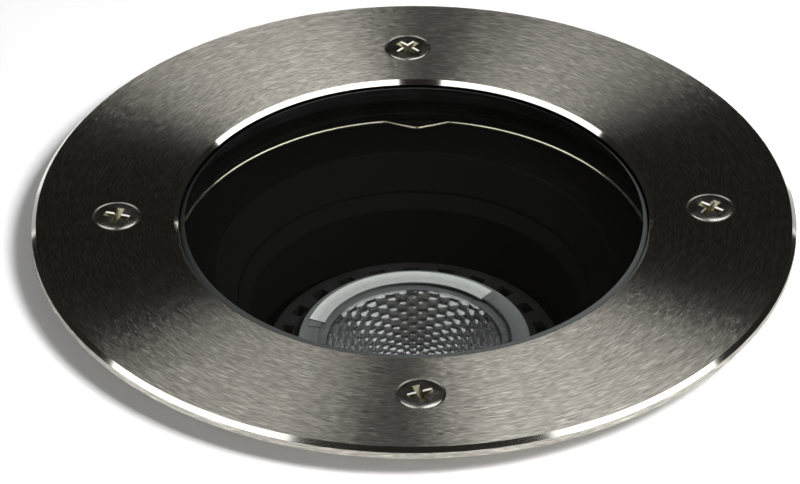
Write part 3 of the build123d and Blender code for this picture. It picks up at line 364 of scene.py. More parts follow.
def remapped(nodes, links, value, low, high, new_low=0.0, new_high=1.0):
    """Takes a value from one range to another."""
    turn = nodes.new("ShaderNodeMapRange")
    turn.inputs["From Min"].default_value = low
    turn.inputs["From Max"].default_value = high
    turn.inputs["To Min"].default_value = new_low
    turn.inputs["To Max"].default_value = new_high
    links.new(value, turn.inputs["Value"])
    return turn.outputs[0]


def bump(nodes, links, shader, grey, depth):
    """Raises the surface by a grey pattern, by at most a depth in metres."""
    relief = nodes.new("ShaderNodeBump")
    relief.inputs["Distance"].default_value = depth
    relief.inputs["Strength"].default_value = 1.0
    links.new(grey, relief.inputs["Height"])
    links.new(relief.outputs["Normal"], shader.inputs["Normal"])


finishes = {}
print("patterns ready, finishes so far:", len(finishes))

# %% [markdown]
# Brushed steel is a metal whose mirror is smeared across the scratches. The bezel was turned on
# a lathe, so its scratches run round the middle and each spot smears its highlight along the
# radius. The shader's anisotropy does that when it is told which way the scratches run. A relief of
# scratches could do it too, but would need far finer detail. Strokes of noise make the tone uneven,
# a few deeper scratches shine brighter, and a slight wander in the scratches' direction breaks up
# the fans' edges.

# %% Brushed steel
def brushed_steel():
    """Turned and brushed stainless steel: dark, with bright fans and fine scratches."""
    finish, nodes, links, shader = blank_finish("brushed_steel", (0.60, 0.58, 0.53), 0.36, 1.0)
    shader.inputs["Anisotropic"].default_value = 1.0
    round_z = nodes.new("ShaderNodeTangent")
    round_z.direction_type = "RADIAL"
    round_z.axis = "Z"
    links.new(round_z.outputs[0], shader.inputs["Tangent"])

    fine = strokes(nodes, links, 34.0, 6500.0, 6500.0, detail=1.0)
    broad = strokes(nodes, links, 9.0, 1500.0, 1500.0, detail=3.0, roughness=0.6)
    broad_share = 0.35
    both = maths(nodes, links, "MULTIPLY_ADD", broad, broad_share, fine)
    tone = ramp(nodes, links, both, (0.36, 0.34, 0.30), (0.80, 0.76, 0.68), 0.48, 0.90)
    deep = strokes(nodes, links, 18.0, 7000.0, 7000.0, detail=0.0)
    scratches = ramp(nodes, links, deep, (0.0, 0.0, 0.0), (0.44, 0.42, 0.37), 0.62, 0.76)
    links.new(blended(nodes, links, "ADD", tone, scratches), shader.inputs["Base Color"])

    stray = strokes(nodes, links, 40.0, 6000.0, 6000.0, scale=1.3, detail=1.0)
    quarter_turn = 0.25       # of a full turn: smears the highlight along the radius
    wander = 0.022
    turned = remapped(nodes, links, stray, 0.2, 0.8, quarter_turn - wander, quarter_turn + wander)
    links.new(turned, shader.inputs["Anisotropic Rotation"])
    return finish


finishes["bezel_steel"] = brushed_steel()
print("finish:", finishes["bezel_steel"].name)

# %% [markdown]
# The bezel's bevels were cut after the brushing and left bright, so they mirror the lamps as thin
# white lines. A plain smooth metal does that. Faint turning lines keep it from looking drawn.

# %% Polished steel
def polished_steel():
    """The bezel's bevelled edges, cut smooth on the lathe after the brushing."""
    finish, nodes, links, shader = blank_finish("polished_steel", (0.78, 0.76, 0.71), 0.07, 1.0)
    # On a 45 degree bevel equal factors for radius and height would cancel out, so they differ.
    lines = strokes(nodes, links, 3.0, 6000.0, 2500.0)
    tone = ramp(nodes, links, lines, (0.70, 0.68, 0.62), (0.84, 0.82, 0.75))
    links.new(tone, shader.inputs["Base Color"])
    return finish


finishes["polished_steel"] = polished_steel()
print("finish:", finishes["polished_steel"].name)

# %% [markdown]
# Screws, springs, pins and the lamp's shell are plain satin metals. One flat colour would look
# dead, so a blotchy bloom moves both the tone and the polish, and a fine relief gives a grain. Each
# row below is a metal: its dark and light colour, how rough its smooth and rough spots are, and
# how fine the bloom is.

# %% Plain metals
def plain_metal(name, dark, light, low_rough, high_rough, grain):
    """A satin metal with a blotchy bloom and a fine grain."""
    finish, nodes, links, shader = blank_finish(name, light, high_rough, 1.0)
    bloom = noise(nodes, links, None, grain, 4.0)
    links.new(ramp(nodes, links, bloom, dark, light), shader.inputs["Base Color"])
    links.new(ramp(nodes, links, bloom, low_rough, high_rough), shader.inputs["Roughness"])
    bump(nodes, links, shader, noise(nodes, links, None, grain * 12), 0.01 * mm)
    return finish


for row in (
    ("screw_steel", (0.50, 0.48, 0.44), (0.66, 0.64, 0.60), 0.16, 0.3, 300.0),
    ("screw_recess", (0.16, 0.15, 0.09), (0.50, 0.47, 0.34), 0.3, 0.5, 500.0),
    ("sink_steel", (0.22, 0.21, 0.19), (0.36, 0.35, 0.32), 0.3, 0.45, 300.0),
    ("small_screws", (0.45, 0.45, 0.44), (0.68, 0.68, 0.66), 0.2, 0.4, 200.0),
    ("plated_steel", (0.42, 0.42, 0.40), (0.64, 0.64, 0.62), 0.25, 0.45, 150.0),
    ("spring_wire", (0.66, 0.61, 0.46), (0.84, 0.80, 0.64), 0.14, 0.22, 250.0),
    ("lamp_shell_aluminium", (0.52, 0.53, 0.54), (0.7, 0.71, 0.72), 0.4, 0.55, 160.0),
    ("pin_nickel", (0.62, 0.60, 0.54), (0.76, 0.74, 0.68), 0.15, 0.3, 200.0),
    ("brass", (0.60, 0.46, 0.20), (0.78, 0.64, 0.34), 0.2, 0.4, 200.0),
):
    finishes[row[0]] = plain_metal(*row)
print("finishes so far:", len(finishes))

# %% [markdown]
# Painted castings, plastics, rubber and ceramic are made alike, without the metal. Each row ends
# with the depth of its relief in millimetres and its gloss, which is low on the black pieces,
# because the well is almost without light in the photograph.

# %% Paints, plastics and rubber
def plain_moulding(name, dark, light, low_rough, high_rough, grain, depth, gloss):
    """A paint or plastic with a mottled tone and a fine raised texture."""
    finish, nodes, links, shader = blank_finish(name, light, high_rough)
    tone = noise(nodes, links, None, grain, 3.0)
    links.new(ramp(nodes, links, tone, dark, light), shader.inputs["Base Color"])
    links.new(ramp(nodes, links, tone, low_rough, high_rough), shader.inputs["Roughness"])
    bump(nodes, links, shader, noise(nodes, links, None, grain * 20), depth * mm)
    shader.inputs["Specular IOR Level"].default_value = gloss
    return finish


for row in (
    ("rubber", (0.005, 0.005, 0.005), (0.012, 0.012, 0.012), 0.6, 0.8, 90.0, 0.02, 0.1),
    ("cast_black", (0.002, 0.002, 0.002), (0.004, 0.004, 0.004), 0.5, 0.7, 120.0, 0.05, 0.02),
    ("collar_grey", (0.006, 0.006, 0.006), (0.011, 0.011, 0.011), 0.45, 0.6, 160.0, 0.01, 0.15),
    ("nylon", (0.70, 0.69, 0.64), (0.82, 0.81, 0.76), 0.4, 0.6, 80.0, 0.01, 0.5),
    ("led_board", (0.78, 0.72, 0.30), (0.88, 0.82, 0.42), 0.5, 0.6, 200.0, 0.01, 0.5),
    ("lamp_base_plastic", (0.78, 0.78, 0.76), (0.88, 0.88, 0.86), 0.3, 0.4, 60.0, 0.01, 0.5),
    ("ceramic", (0.78, 0.76, 0.70), (0.90, 0.88, 0.83), 0.6, 0.8, 120.0, 0.03, 0.5),
    ("block_plastic", (0.78, 0.77, 0.72), (0.88, 0.87, 0.82), 0.4, 0.55, 90.0, 0.01, 0.5),
    ("gland_plastic", (0.02, 0.02, 0.021), (0.035, 0.035, 0.036), 0.4, 0.55, 150.0, 0.02, 0.5),
    ("sleeve_plastic", (0.025, 0.025, 0.026), (0.042, 0.042, 0.043), 0.45, 0.6, 70.0, 0.03, 0.5),
):
    finishes[row[0]] = plain_moulding(*row)
print("finishes so far:", len(finishes))

# %% [markdown]
# The baffle is a ring of black textured plastic. In the photograph its cone is a little lighter
# than the upright wall above it, and that is painted into its colour: painted light on the cone and
# painted shade on the wall. Two materials could show that. Here one reads the height, and goes from
# the one tone to the other where the wall meets the cone.

# %% Baffle black
cone_level = -16.3 * mm
wall_level = -16.1 * mm


def baffle_black():
    """Black textured plastic, painted a little lighter on the baffle's cone and darker on its
    upright wall, as painted light and shade.
    """
    finish, nodes, links, shader = blank_finish("baffle_black", (0.002, 0.002, 0.002), 0.6)
    shader.inputs["Specular IOR Level"].default_value = 0.02
    height = nodes.new("ShaderNodeSeparateXYZ")
    links.new(nodes.new("ShaderNodeTexCoord").outputs["Object"], height.inputs[0])
    wall = remapped(nodes, links, height.outputs["Z"], cone_level, wall_level)
    # Painted light on the cone and painted shade on the upright wall.
    tone = ramp(nodes, links, wall, 0.0034, 0.0016, 0.0, 1.0)
    links.new(tone, shader.inputs["Base Color"])
    texture_grain = 4400.0
    bump(nodes, links, shader, noise(nodes, links, None, texture_grain), 0.05 * mm)
    return finish


finishes["baffle_black"] = baffle_black()
print("finish:", finishes["baffle_black"].name)

# %% [markdown]
# The window and the lamp's cover are clear glass, which bends and passes light. The window's bevel
# and edge are ground, which leaves them matt and grey green. Glass with a rough surface could show
# that, but a plain dark matt surface is calmer and looks the same on so narrow a band.

# %% Glass
def clear_glass(name, colour):
    """Clear glass with a perfect polish."""
    finish, nodes, links, shader = blank_finish(name, colour, 0.0)
    shader.inputs["Transmission Weight"].default_value = 1.0
    shader.inputs["IOR"].default_value = 1.52
    return finish


def ground_glass():
    """Glass ground matt, as on the window's bevel and edge."""
    finish, nodes, links, shader = blank_finish("ground_glass", (0.05, 0.055, 0.053), 0.5)
    grain = noise(nodes, links, None, 2500.0)
    tone = ramp(nodes, links, grain, (0.030, 0.034, 0.033), (0.052, 0.057, 0.055))
    links.new(tone, shader.inputs["Base Color"])
    return finish


finishes["window_glass"] = clear_glass("window_glass", (0.97, 0.99, 0.98))
finishes["lamp_glass"] = clear_glass("lamp_glass", (0.98, 0.99, 1.0))
finishes["ground_glass"] = ground_glass()
print("finishes so far:", len(finishes))

# %% [markdown]
# The lamp's front ring is painted silver over fine turning lines. Its outer part is painted lighter
# than its inner part, as painted light and shade, which one material does by reading the radius.
# The raised grips and the mirror's rim have the same paint in other tones, which are painted light
# and shade as well: much lighter on the grips, a little darker on the rim.

# %% Lamp paint
ring_paint_edge = 24.8        # the painted ring's outer radius in millimetres


def cast_silver(name, inner, outer):
    """Silver paint on the lamp's ring, turned lightly, with painted light towards the ring's
    outside and painted shade towards its inside.
    """
    finish, nodes, links, shader = blank_finish(name, outer, 0.45)
    radius = nodes.new("ShaderNodeSeparateXYZ")
    links.new(polar_place(nodes, links, 0.0, 1 / (ring_paint_edge * mm), 0.0), radius.inputs[0])
    # Painted light and shade: darker at the ring's inner radius, lighter outside.
    shade = ramp(nodes, links, radius.outputs["Z"], inner, outer, 0.86, 0.95)
    lines = ramp(nodes, links, strokes(nodes, links, 20.0, 4000.0, 4000.0), 0.80, 1.0)
    links.new(blended(nodes, links, "MULTIPLY", shade, lines), shader.inputs["Base Color"])
    return finish


# The grips' much lighter tone is painted light, and the rim's slightly darker one painted shade.
for name, inner, outer in (
    ("lamp_silver", (0.09, 0.095, 0.093), (0.13, 0.138, 0.135)),
    ("grip_silver_painted_light", (0.34, 0.355, 0.345), (0.52, 0.545, 0.53)),
    ("mirror_rim", (0.085, 0.088, 0.087), (0.10, 0.104, 0.103)),
):
    finishes[name] = cast_silver(name, inner, outer)
print("finishes so far:", len(finishes))

# %% [markdown]
# The mirror is a coat of aluminium whose colour carries painted light and shade: each bump is
# painted lighter on its upper side and darker on its lower side and at the mouth, as light would
# fall on it. That follows the bumps, so it can't come from noise. The mirror carries a number at
# every point instead, worked out with its bumps further down, and the finish reads it. A clear
# lacquer over it gives the small white glints.

# %% Dimpled mirror
def dimpled_mirror():
    """Aluminium on a pressed dish under a clear lacquer, with painted light and shade on its bumps.
    """
    finish, nodes, links, shader = blank_finish("reflector_mirror", (0.3, 0.3, 0.35), 0.10, 0.72)
    depth = nodes.new("ShaderNodeAttribute")
    depth.attribute_name = "painted_bump_shading"
    # Painted shade on each bump's lower side and painted highlight on its upper side, read from the
    # mirror's points.
    shaded_tone, lit_tone = (0.020, 0.020, 0.026), (0.30, 0.29, 0.29)
    links.new(
        ramp(nodes, links, depth.outputs["Fac"], shaded_tone, lit_tone, 0.0, 1.0),
        shader.inputs["Base Color"],
    )
    shader.inputs["Coat Weight"].default_value = 1.0
    shader.inputs["Coat IOR"].default_value = 2.4
    shader.inputs["Coat Roughness"].default_value = 0.02
    spots = noise(nodes, links, None, 2000.0, 1.0)
    links.new(ramp(nodes, links, spots, 0.14, 0.04, 0.4, 0.68), shader.inputs["Roughness"])
    return finish


finishes["reflector_mirror"] = dimpled_mirror()
print("finish:", finishes["reflector_mirror"].name)

# %% [markdown]
# Every CAD node came with a plain material that has its slot's name. The finish of that name takes
# its place. The nodes that are modelled again below are dressed too, which does no harm.

# %% Dress the CAD nodes
for node in nodes.values():
    slot_name = node.material_slots[0].material.name
    for material_slot in node.material_slots:
        material_slot.material = finishes[slot_name]
print("finishes:", len(finishes), "nodes dressed:", len(nodes))

# %% [markdown]
# The pieces whose fine shape the solids leave out are modelled again here, at the same sizes. Most
# of them were turned on a lathe or pressed in a round die, so each starts as a closed outline of
# radius and height and is spun round the Z axis, which keeps every wall as it would be cut. They
# could be cylinders with parts cut off, but an outline shows all their sizes in one place. Lengths
# are in millimetres from here on, unless a line says otherwise.

# %% Spinning outlines
def outline_ring(name, outline, angle):
    """A circle whose points are moved onto a closed outline of (radius, height)."""
    bpy.ops.object.select_all(action="DESELECT")
    bpy.ops.mesh.primitive_circle_add(vertices=len(outline), radius=1.0)
    ring = bpy.context.object
    ring.name = name
    for point, (radius, height) in zip(ring.data.vertices, outline):
        point.co = Vector((radius * cos(angle), radius * sin(angle), height)) * mm
    return ring


def spun(name, outline, steps, start=0.0, span=360.0, sharp=35.0):
    """A turned piece: the outline spun round the Z axis, by a full turn or from start on."""
    piece = outline_ring(name, outline, radians(start))
    bpy.ops.object.mode_set(mode="EDIT")
    bpy.ops.mesh.select_all(action="SELECT")
    bpy.ops.mesh.spin(steps=steps, angle=radians(span), center=(0, 0, 0), axis=(0, 0, -1))
    if span < 360.0:
        bpy.ops.mesh.select_all(action="SELECT")
        bpy.ops.mesh.region_to_loop()
        bpy.ops.mesh.edge_face_add()
    bpy.ops.mesh.select_all(action="SELECT")
    bpy.ops.mesh.remove_doubles(threshold=0.002 * mm)
    bpy.ops.mesh.normals_make_consistent(inside=False)
    bpy.ops.object.mode_set(mode="OBJECT")
    bpy.ops.object.shade_smooth_by_angle(angle=radians(sharp))
    return piece


def from_axis(point):
    """How far a point is from the Z axis, in millimetres."""
    return sqrt(point.x ** 2 + point.y ** 2) / mm


def paint(piece, finish_names, finish_of=None):
    """Gives a piece its finishes, and each face the one whose number finish_of(face) says."""
    piece.data.materials.clear()
    for name in finish_names:
        piece.data.materials.append(finishes[name])
    if finish_of:
        for face in piece.data.polygons:
            face.material_index = finish_of(face)


def settle(piece, body, slot_name, *replaced):
    """Hands a finished piece to its body and hides the CAD nodes that it stands for. The slot's
    name is not used.
    """
    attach(piece, body)
    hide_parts(*replaced)
    print(piece.name, len(piece.data.polygons), "faces")


# %% [markdown]
# The bezel is a steel ring, turned and then brushed round. Its outer upper edge is bevelled at 45
# degrees. Its inner one has a shallow lapped land and then a bevel down to the window. The
# underside has a shallow groove over the sleeve's edge.

# %% Bezel ring
bezel_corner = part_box("bezel")[1]
bezel_radius = bezel_corner.x / mm
bezel_top = bezel_corner.z / mm
window_radius = 49.3
bevel_width = 0.9
land_width = 1.1
land_drop = 0.2
edge_break = 0.3
groove_inner, groove_outer, groove_depth = 66.9, 70.6, 0.5

bezel = spun("bezel_dressed", [
    (window_radius, 0),
    (groove_inner, 0),
    (groove_inner, groove_depth),
    (groove_outer, groove_depth),
    (groove_outer, 0),
    (bezel_radius - edge_break, 0),
    (bezel_radius, edge_break),
    (bezel_radius, bezel_top - bevel_width),
    (bezel_radius - bevel_width, bezel_top),
    (window_radius + bevel_width + land_width, bezel_top),
    (window_radius + bevel_width, bezel_top - land_drop),
    (window_radius, bezel_top - land_drop - bevel_width),
], 288, sharp=20.0)
print("bezel ring: radius", round(bezel_radius, 2), "and thickness", round(bezel_top, 2))

# %% [markdown]
# The four screw holes are countersunk. Each is cut with a cone that ends in a short shaft, which is
# the shape of the tool that cuts a real one. They can't be part of the outline, because a groove
# would then run all the way round.

# %% Countersunk holes
screw_circle = 62.2
countersink_radius = 5.1
countersink_depth = 2.35
cut_above = 1.0               # how far the cutter stands out of the bezel's face
cut_below = 1.5               # the length of its shaft, which comes out underneath


def screw_place(number, height=0.0):
    """Place in metres of one of the four bezel screws, at a height in millimetres."""
    turn = number * pi / 2
    return (screw_circle * cos(turn) * mm, screw_circle * sin(turn) * mm, height * mm)


def pick_faces(piece, wanted):
    """Enters edit mode with only those faces selected that pass a test."""
    bpy.ops.object.mode_set(mode="EDIT")
    bpy.ops.mesh.select_mode(type="FACE")
    bpy.ops.mesh.select_all(action="DESELECT")
    bpy.ops.object.mode_set(mode="OBJECT")
    for face in piece.data.polygons:
        face.select = wanted(face)
    bpy.ops.object.mode_set(mode="EDIT")


def cut_away(piece, cutter):
    """Takes the cutter's shape out of the piece and deletes the cutter."""
    bpy.ops.object.select_all(action="DESELECT")
    piece.select_set(True)
    bpy.context.view_layer.objects.active = piece
    cut = piece.modifiers.new("cut", "BOOLEAN")
    cut.operation = "DIFFERENCE"
    cut.solver = "EXACT"
    cut.object = cutter
    bpy.ops.object.modifier_apply(modifier=cut.name)
    bpy.data.objects.remove(cutter)


cone_height = countersink_depth + cut_above
for number in range(4):
    bpy.ops.object.select_all(action="DESELECT")
    bpy.ops.mesh.primitive_cone_add(
        vertices=64,
        radius1=(countersink_radius - countersink_depth) * mm,
        radius2=(countersink_radius + cut_above) * mm,
        depth=cone_height * mm,
        location=screw_place(number, bezel_top - countersink_depth + cone_height / 2),
    )
    sink = bpy.context.object
    pick_faces(sink, lambda face: face.normal.z < -0.9)
    bpy.ops.mesh.extrude_region_move(TRANSFORM_OT_translate={"value": (0, 0, -cut_below * mm)})
    bpy.ops.object.mode_set(mode="OBJECT")
    cut_away(bezel, sink)
print("bezel with holes:", len(bezel.data.polygons), "faces")

# %% [markdown]
# One piece can wear several finishes, each on its own faces. The face is brushed, the bevels and
# the outer part of the land are polished, the countersinks are plain, and the inner wall is painted
# black as painted shade, for the dark gap beside the glass.
# The faces could be picked by their numbers, but those change with every cut, so each is told by
# how it leans and how far out it is.

# %% Bezel's finishes
def bezel_finish(face):
    """The number of a face's finish: brushed 0, polished 1, countersink 2, or 3 for the inner wall,
    painted black as painted shade.
    """
    far_out = from_axis(face.center)
    lean = abs(face.normal.z)
    # The inner wall is painted black as painted shade, for the dark gap beside the glass.
    if far_out < window_radius + 0.05 and lean < 0.1:
        return 3
    on_outer_bevel = 0.3 < face.normal.z < 0.95 and far_out > bezel_radius - bevel_width
    inner_edge = window_radius + bevel_width + 0.4 * land_width
    if on_outer_bevel or (face.center.z > 0.5 * mm and far_out < inner_edge):
        return 1
    return 2 if abs(far_out - screw_circle) < countersink_radius and lean < 0.9 else 0


paint(bezel, ("bezel_steel", "polished_steel", "sink_steel", "baffle_black"), bezel_finish)
settle(bezel, "cover", "bezel_steel", "bezel")

# %% [markdown]
# The bezel's screws have raised countersunk heads, nearly flat on top and rounded at the edge,
# where a thin line of light runs round them. A squashed ball could stand for the head, but its
# edge would be too soft. The head, its cone and its shank are one spun outline.

# %% Screw outline
head_radius = 4.75
head_edge = bezel_top - (countersink_radius - head_radius) + 0.05
head_land = 0.12
head_crown = 0.42
edge_round_width = 0.3
edge_round_height = 0.26
shank_radius = 2.5
shank_end = bezel_top - 0.65 - 14.0
shank_chamfer = 0.4

rim_level = head_edge + head_land
crown_level = rim_level + head_crown
head_outline = [
    (0, shank_end),
    (shank_radius - shank_chamfer, shank_end),
    (shank_radius, shank_end + shank_chamfer),
    (shank_radius, head_edge - (head_radius - shank_radius)),
    (head_radius, head_edge),
    (head_radius, rim_level),
]
for lean in (22, 45, 68):
    head_outline.append((
        head_radius - edge_round_width * (1 - cos(radians(lean))),
        rim_level + edge_round_height * sin(radians(lean)),
    ))
head_outline += [
    (0.75 * head_radius, crown_level - 0.08),
    (0.4 * head_radius, crown_level - 0.02),
    (0, crown_level),
]
print("screw crown stands", round(crown_level - bezel_top, 2), "mm above the bezel")

# %% [markdown]
# The cross recess is cut with two tapered bars that cross. Each bar flares out at its top, so the
# recess has a bevelled mouth that catches the light. A bar is a cube whose top face is extruded
# and spread, and whose foot is drawn in.

# %% One screw
recess_length = 5.0
recess_width = 1.15
recess_depth = 1.7
recess_flare = 0.28
foot_length_share = 0.30      # of the bar's length at its top
foot_width_share = 0.55       # of the bar's width at its top


def recess_bar(turn):
    """A tapered bar that flares out at its top, for one arm of the cross."""
    bpy.ops.object.select_all(action="DESELECT")
    bpy.ops.mesh.primitive_cube_add(size=1.0)
    bar = bpy.context.object
    bar.scale = (recess_length * mm, recess_width * mm, recess_depth * mm)
    bar.location = (0, 0, (crown_level - recess_flare - recess_depth / 2) * mm)
    bpy.ops.object.transform_apply(location=True, rotation=True, scale=True)
    pick_faces(bar, lambda face: face.normal.z > 0.9)
    flare = 2 * recess_flare * mm
    bpy.ops.mesh.extrude_region_move(TRANSFORM_OT_translate={"value": (0, 0, flare)})
    bpy.ops.object.mode_set(mode="OBJECT")
    for point in bar.data.vertices:
        if point.co.z > crown_level * mm:
            point.co.x += flare * (1 if point.co.x > 0 else -1)
            point.co.y += flare * (1 if point.co.y > 0 else -1)
        elif point.co.z < (crown_level - recess_depth) * mm:
            point.co.x *= foot_length_share
            point.co.y *= foot_width_share
    bar.rotation_euler.z = turn
    bpy.ops.object.transform_apply(rotation=True)
    return bar


master = spun("bezel_screw", head_outline, 48, sharp=25.0)
for turn in (0, pi / 2):
    cut_away(master, recess_bar(turn))
bpy.ops.object.shade_smooth_by_angle(angle=radians(25.0))
print("one screw:", len(master.data.polygons), "faces")

# %% [markdown]
# The finished screw is copied four times. Each real one was tightened to its own angle, so each
# copy stands turned differently. The four are then joined, because the part has them as one piece.

# %% Four bezel screws
cross_turns = (54.0, 46.0, 72.0, 20.0)    # degrees


def joined(pieces, name):
    """Joins pieces into one, at the origin."""
    bpy.ops.object.select_all(action="DESELECT")
    for piece in pieces:
        piece.select_set(True)
    bpy.context.view_layer.objects.active = pieces[0]
    bpy.ops.object.join()
    whole = bpy.context.object
    whole.name = name
    bpy.ops.object.transform_apply(location=True, rotation=True, scale=True)
    return whole


screws = []
for number, turn in enumerate(cross_turns):
    bpy.ops.object.select_all(action="DESELECT")
    master.select_set(True)
    bpy.context.view_layer.objects.active = master
    bpy.ops.object.duplicate(linked=False)
    screw = bpy.context.object
    screw.rotation_euler.z = radians(turn)
    screw.location = screw_place(number)
    screws.append(screw)
bpy.data.objects.remove(master)
bezel_screws = joined(screws, "bezel_screws_dressed")


def screw_finish(face):
    """1 inside a cross recess, which has a darker and browner finish, and 0 on the rest of a screw.
    """
    to_axis = min((face.center - Vector(screw_place(n))).xy.length for n in range(4))
    near_middle = to_axis < 0.7 * recess_length * mm
    return 1 if near_middle and bezel_top - 2.0 < face.center.z / mm < crown_level - 0.1 else 0


paint(bezel_screws, ("screw_steel", "screw_recess"), screw_finish)
settle(bezel_screws, "cover", "screw_steel", "bezel_screws")

# %% [markdown]
# The window is a disc of clear glass with a raised middle that fills the bezel. Its two flat faces
# are polished. The bevel and the upright edges are ground, and show as a thin band all round the
# window. Real clear glass lets the light into the well. A solid glass piece throws a dark shadow
# here, so the window and the lamp's cover throw none.

# %% Window glass
glass_low, glass_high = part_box("glass")
glass_radius = glass_high.x / mm
glass_top = glass_high.z / mm
glass_bottom = glass_low.z / mm
glass_edge_break = 0.3
shoulder_level = -0.65
raised_radius = 48.95
ground_width = 0.9

glass = spun("glass_dressed", [
    (0, glass_bottom),
    (glass_radius - glass_edge_break, glass_bottom),
    (glass_radius, glass_bottom + glass_edge_break),
    (glass_radius, shoulder_level - glass_edge_break),
    (glass_radius - glass_edge_break, shoulder_level),
    (raised_radius, shoulder_level),
    (raised_radius, glass_top - ground_width),
    (raised_radius - ground_width, glass_top),
    (0, glass_top),
], 192, sharp=20.0)
paint(glass, ("window_glass", "ground_glass"), lambda face: 0 if abs(face.normal.z) > 0.99 else 1)
glass.visible_shadow = False
nodes["lamp_lens"].visible_shadow = False
settle(glass, "cover", "window_glass", "glass")

# %% [markdown]
# The lamp's mirror is a pressed dish, a steep cone with a flatter bowl under it. It is spun from
# an outline whose steps get finer towards the middle, so that its facets keep their shape all the
# way down.

# %% Mirror dish
mirror_top = -37.03
mirror_mouth = 18.8
mirror_foot = 6.5
mirror_rim = 22.4
mirror_wall = 0.8
cone_slope = 1.3
bowl_radius = 12.5
bowl_power = 1.6              # above 1, the bowl flattens towards the middle
foot_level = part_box("lamp_reflector")[0].z / mm + 0.8
dish_steps = 120
bump_columns = 48
steps_per_bump = 8


def dish_level(radius):
    """Height of the mirror's face at a radius: a steep cone with a flatter bowl under it."""
    if radius > bowl_radius:
        return mirror_top - cone_slope * (mirror_mouth - radius)
    bowl_top = mirror_top - cone_slope * (mirror_mouth - bowl_radius)
    across = min(1.0, (bowl_radius - radius) / (bowl_radius - mirror_foot))
    return bowl_top - (bowl_top - foot_level) * (1 - (1 - across) ** bowl_power)


dish_outline = [(mirror_foot, dish_level(mirror_foot) - mirror_wall)]
for step in range(dish_steps + 1):
    radius = mirror_foot * (mirror_mouth / mirror_foot) ** (step / dish_steps)
    dish_outline.append((radius, dish_level(radius)))
middle = (mirror_mouth + mirror_foot) / 2
dish_outline += [
    (mirror_rim, mirror_top),
    (mirror_rim, mirror_top - mirror_wall),
    (mirror_mouth + mirror_wall, mirror_top - mirror_wall),
    (middle + mirror_wall, dish_level(middle) - mirror_wall),
]
mirror = spun("lamp_mirror", dish_outline, bump_columns * steps_per_bump, sharp=60.0)
print("mirror dish:", len(mirror.data.polygons), "faces")

# %% [markdown]
# Small round bumps cover the dish like fish scales and scatter the light source's image. They
# stand in columns, each moved by half a bump against the next. A bump map could draw them, but
# real height also gives them outlines and shadows. So every point is raised by the height of the
# bump whose middle is nearest. The rows are closer than the columns, because the dish is steep and
# is looked at from above.

# %% Mirror bumps
bump_height = 0.24
bump_reach = 0.40             # the square of a bump's radius, where one column's width is 1
mouth_fade = 0.4              # over which the bumps die out at the mouth, where the tone is painted dark as shade
face_margin = 0.05            # bare edge at the mouth and the foot
slope_reach = 0.5             # how far to each side the dish's slope is measured
column_pitch = 2 * pi / bump_columns
row_pitch = 0.62 * column_pitch

tone_at_bump_foot = 0.45            # painted tone at a bump's foot, from dark 0 to light 1
highlight_on_bump_top = 0.4             # how much lighter the painted highlight makes the bump's top
shade_to_lower_side = 0.5               # how much darker the painted shade makes the bump's lower side
shade_start = 0.20               # how far below a bump's middle the painted shade begins to run to dark
shade_start_width = 0.22


def bump_at(point):
    """The bump's height at a point of the dish, from 0 to 1, and the painted light and shade there.
    """
    radius = from_axis(point)
    along = log(mirror_mouth / radius) / row_pitch
    around = atan2(point.y, point.x) / column_pitch
    nearest, below = 10.0, 0.0
    for column in (int(around // 1), int(around // 1) + 1):
        shifted = along - 0.5 * (column % 2)
        down = shifted - round(shifted)
        aside = around - column
        if aside ** 2 + down ** 2 < nearest:
            nearest, below = aside ** 2 + down ** 2, down
    fade = min(1.0, (mirror_mouth - radius) / mouth_fade)
    height = max(0.0, 1 - nearest / bump_reach)
    # Painted shade: the tone runs to dark below the bump's middle and towards the mouth.
    unshaded_share = 1 - max(0.0, min(1.0, (below - shade_start) / shade_start_width))
    depth = (tone_at_bump_foot + highlight_on_bump_top * height - shade_to_lower_side * below) * unshaded_share
    return height * fade, depth * fade


# Each point of the mirror holds its painted light and shade, for the finish to read.
painted_bump_shading = mirror.data.attributes.new("painted_bump_shading", "FLOAT", "POINT")
for number, point in enumerate(mirror.data.vertices):
    radius = from_axis(point.co)
    on_face = abs(point.co.z / mm - dish_level(radius)) < 0.01
    if on_face and mirror_foot + face_margin < radius < mirror_mouth - face_margin:
        slope = dish_level(radius + slope_reach) - dish_level(radius - slope_reach)
        outwards = Vector((point.co.x, point.co.y, 0)).normalized()
        into = (outwards * slope - Vector((0, 0, 1))).normalized()
        height, depth = bump_at(point.co)
        painted_bump_shading.data[number].value = depth
        point.co -= into * height * bump_height * mm * radius / mirror_mouth
# The rim wears the slightly darker silver, which is painted shade.
paint(
    mirror,
    ("reflector_mirror", "mirror_rim"),
    lambda face: 1 if from_axis(face.center) > mirror_mouth else 0,
)
settle(mirror, "lamp", "reflector_mirror", "lamp_reflector")

# %% [markdown]
# The lamp's front ring is die cast and painted silver. Like the other turned pieces it is a spun
# outline. It keeps the CAD ring's outside, and its bore is widened below the lip for the lamp's
# cover.

# %% Lamp ring
ring_low, ring_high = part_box("lamp_ring")
ring_radius = ring_high.x / mm
ring_bottom = ring_low.z / mm
ring_bore = 20.8
ring_round = 0.4
bore_round = 0.2
lens_room = 22.8
lens_level = -35.99
grip_top = ring_high.z / mm
grip_height = 0.6
low_top = grip_top - grip_height

low_ring = spun("low_ring", [
    (ring_bore, lens_level),
    (lens_room, lens_level),
    (lens_room, ring_bottom),
    (ring_radius, ring_bottom),
    (ring_radius, low_top - ring_round),
    (ring_radius - 0.3 * ring_round, low_top - 0.3 * ring_round),
    (ring_radius - ring_round, low_top),
    (ring_bore + bore_round, low_top),
    (ring_bore, low_top - bore_round),
], 192)
print("low ring: radius", round(ring_radius, 2), "and top at", round(low_top, 2))

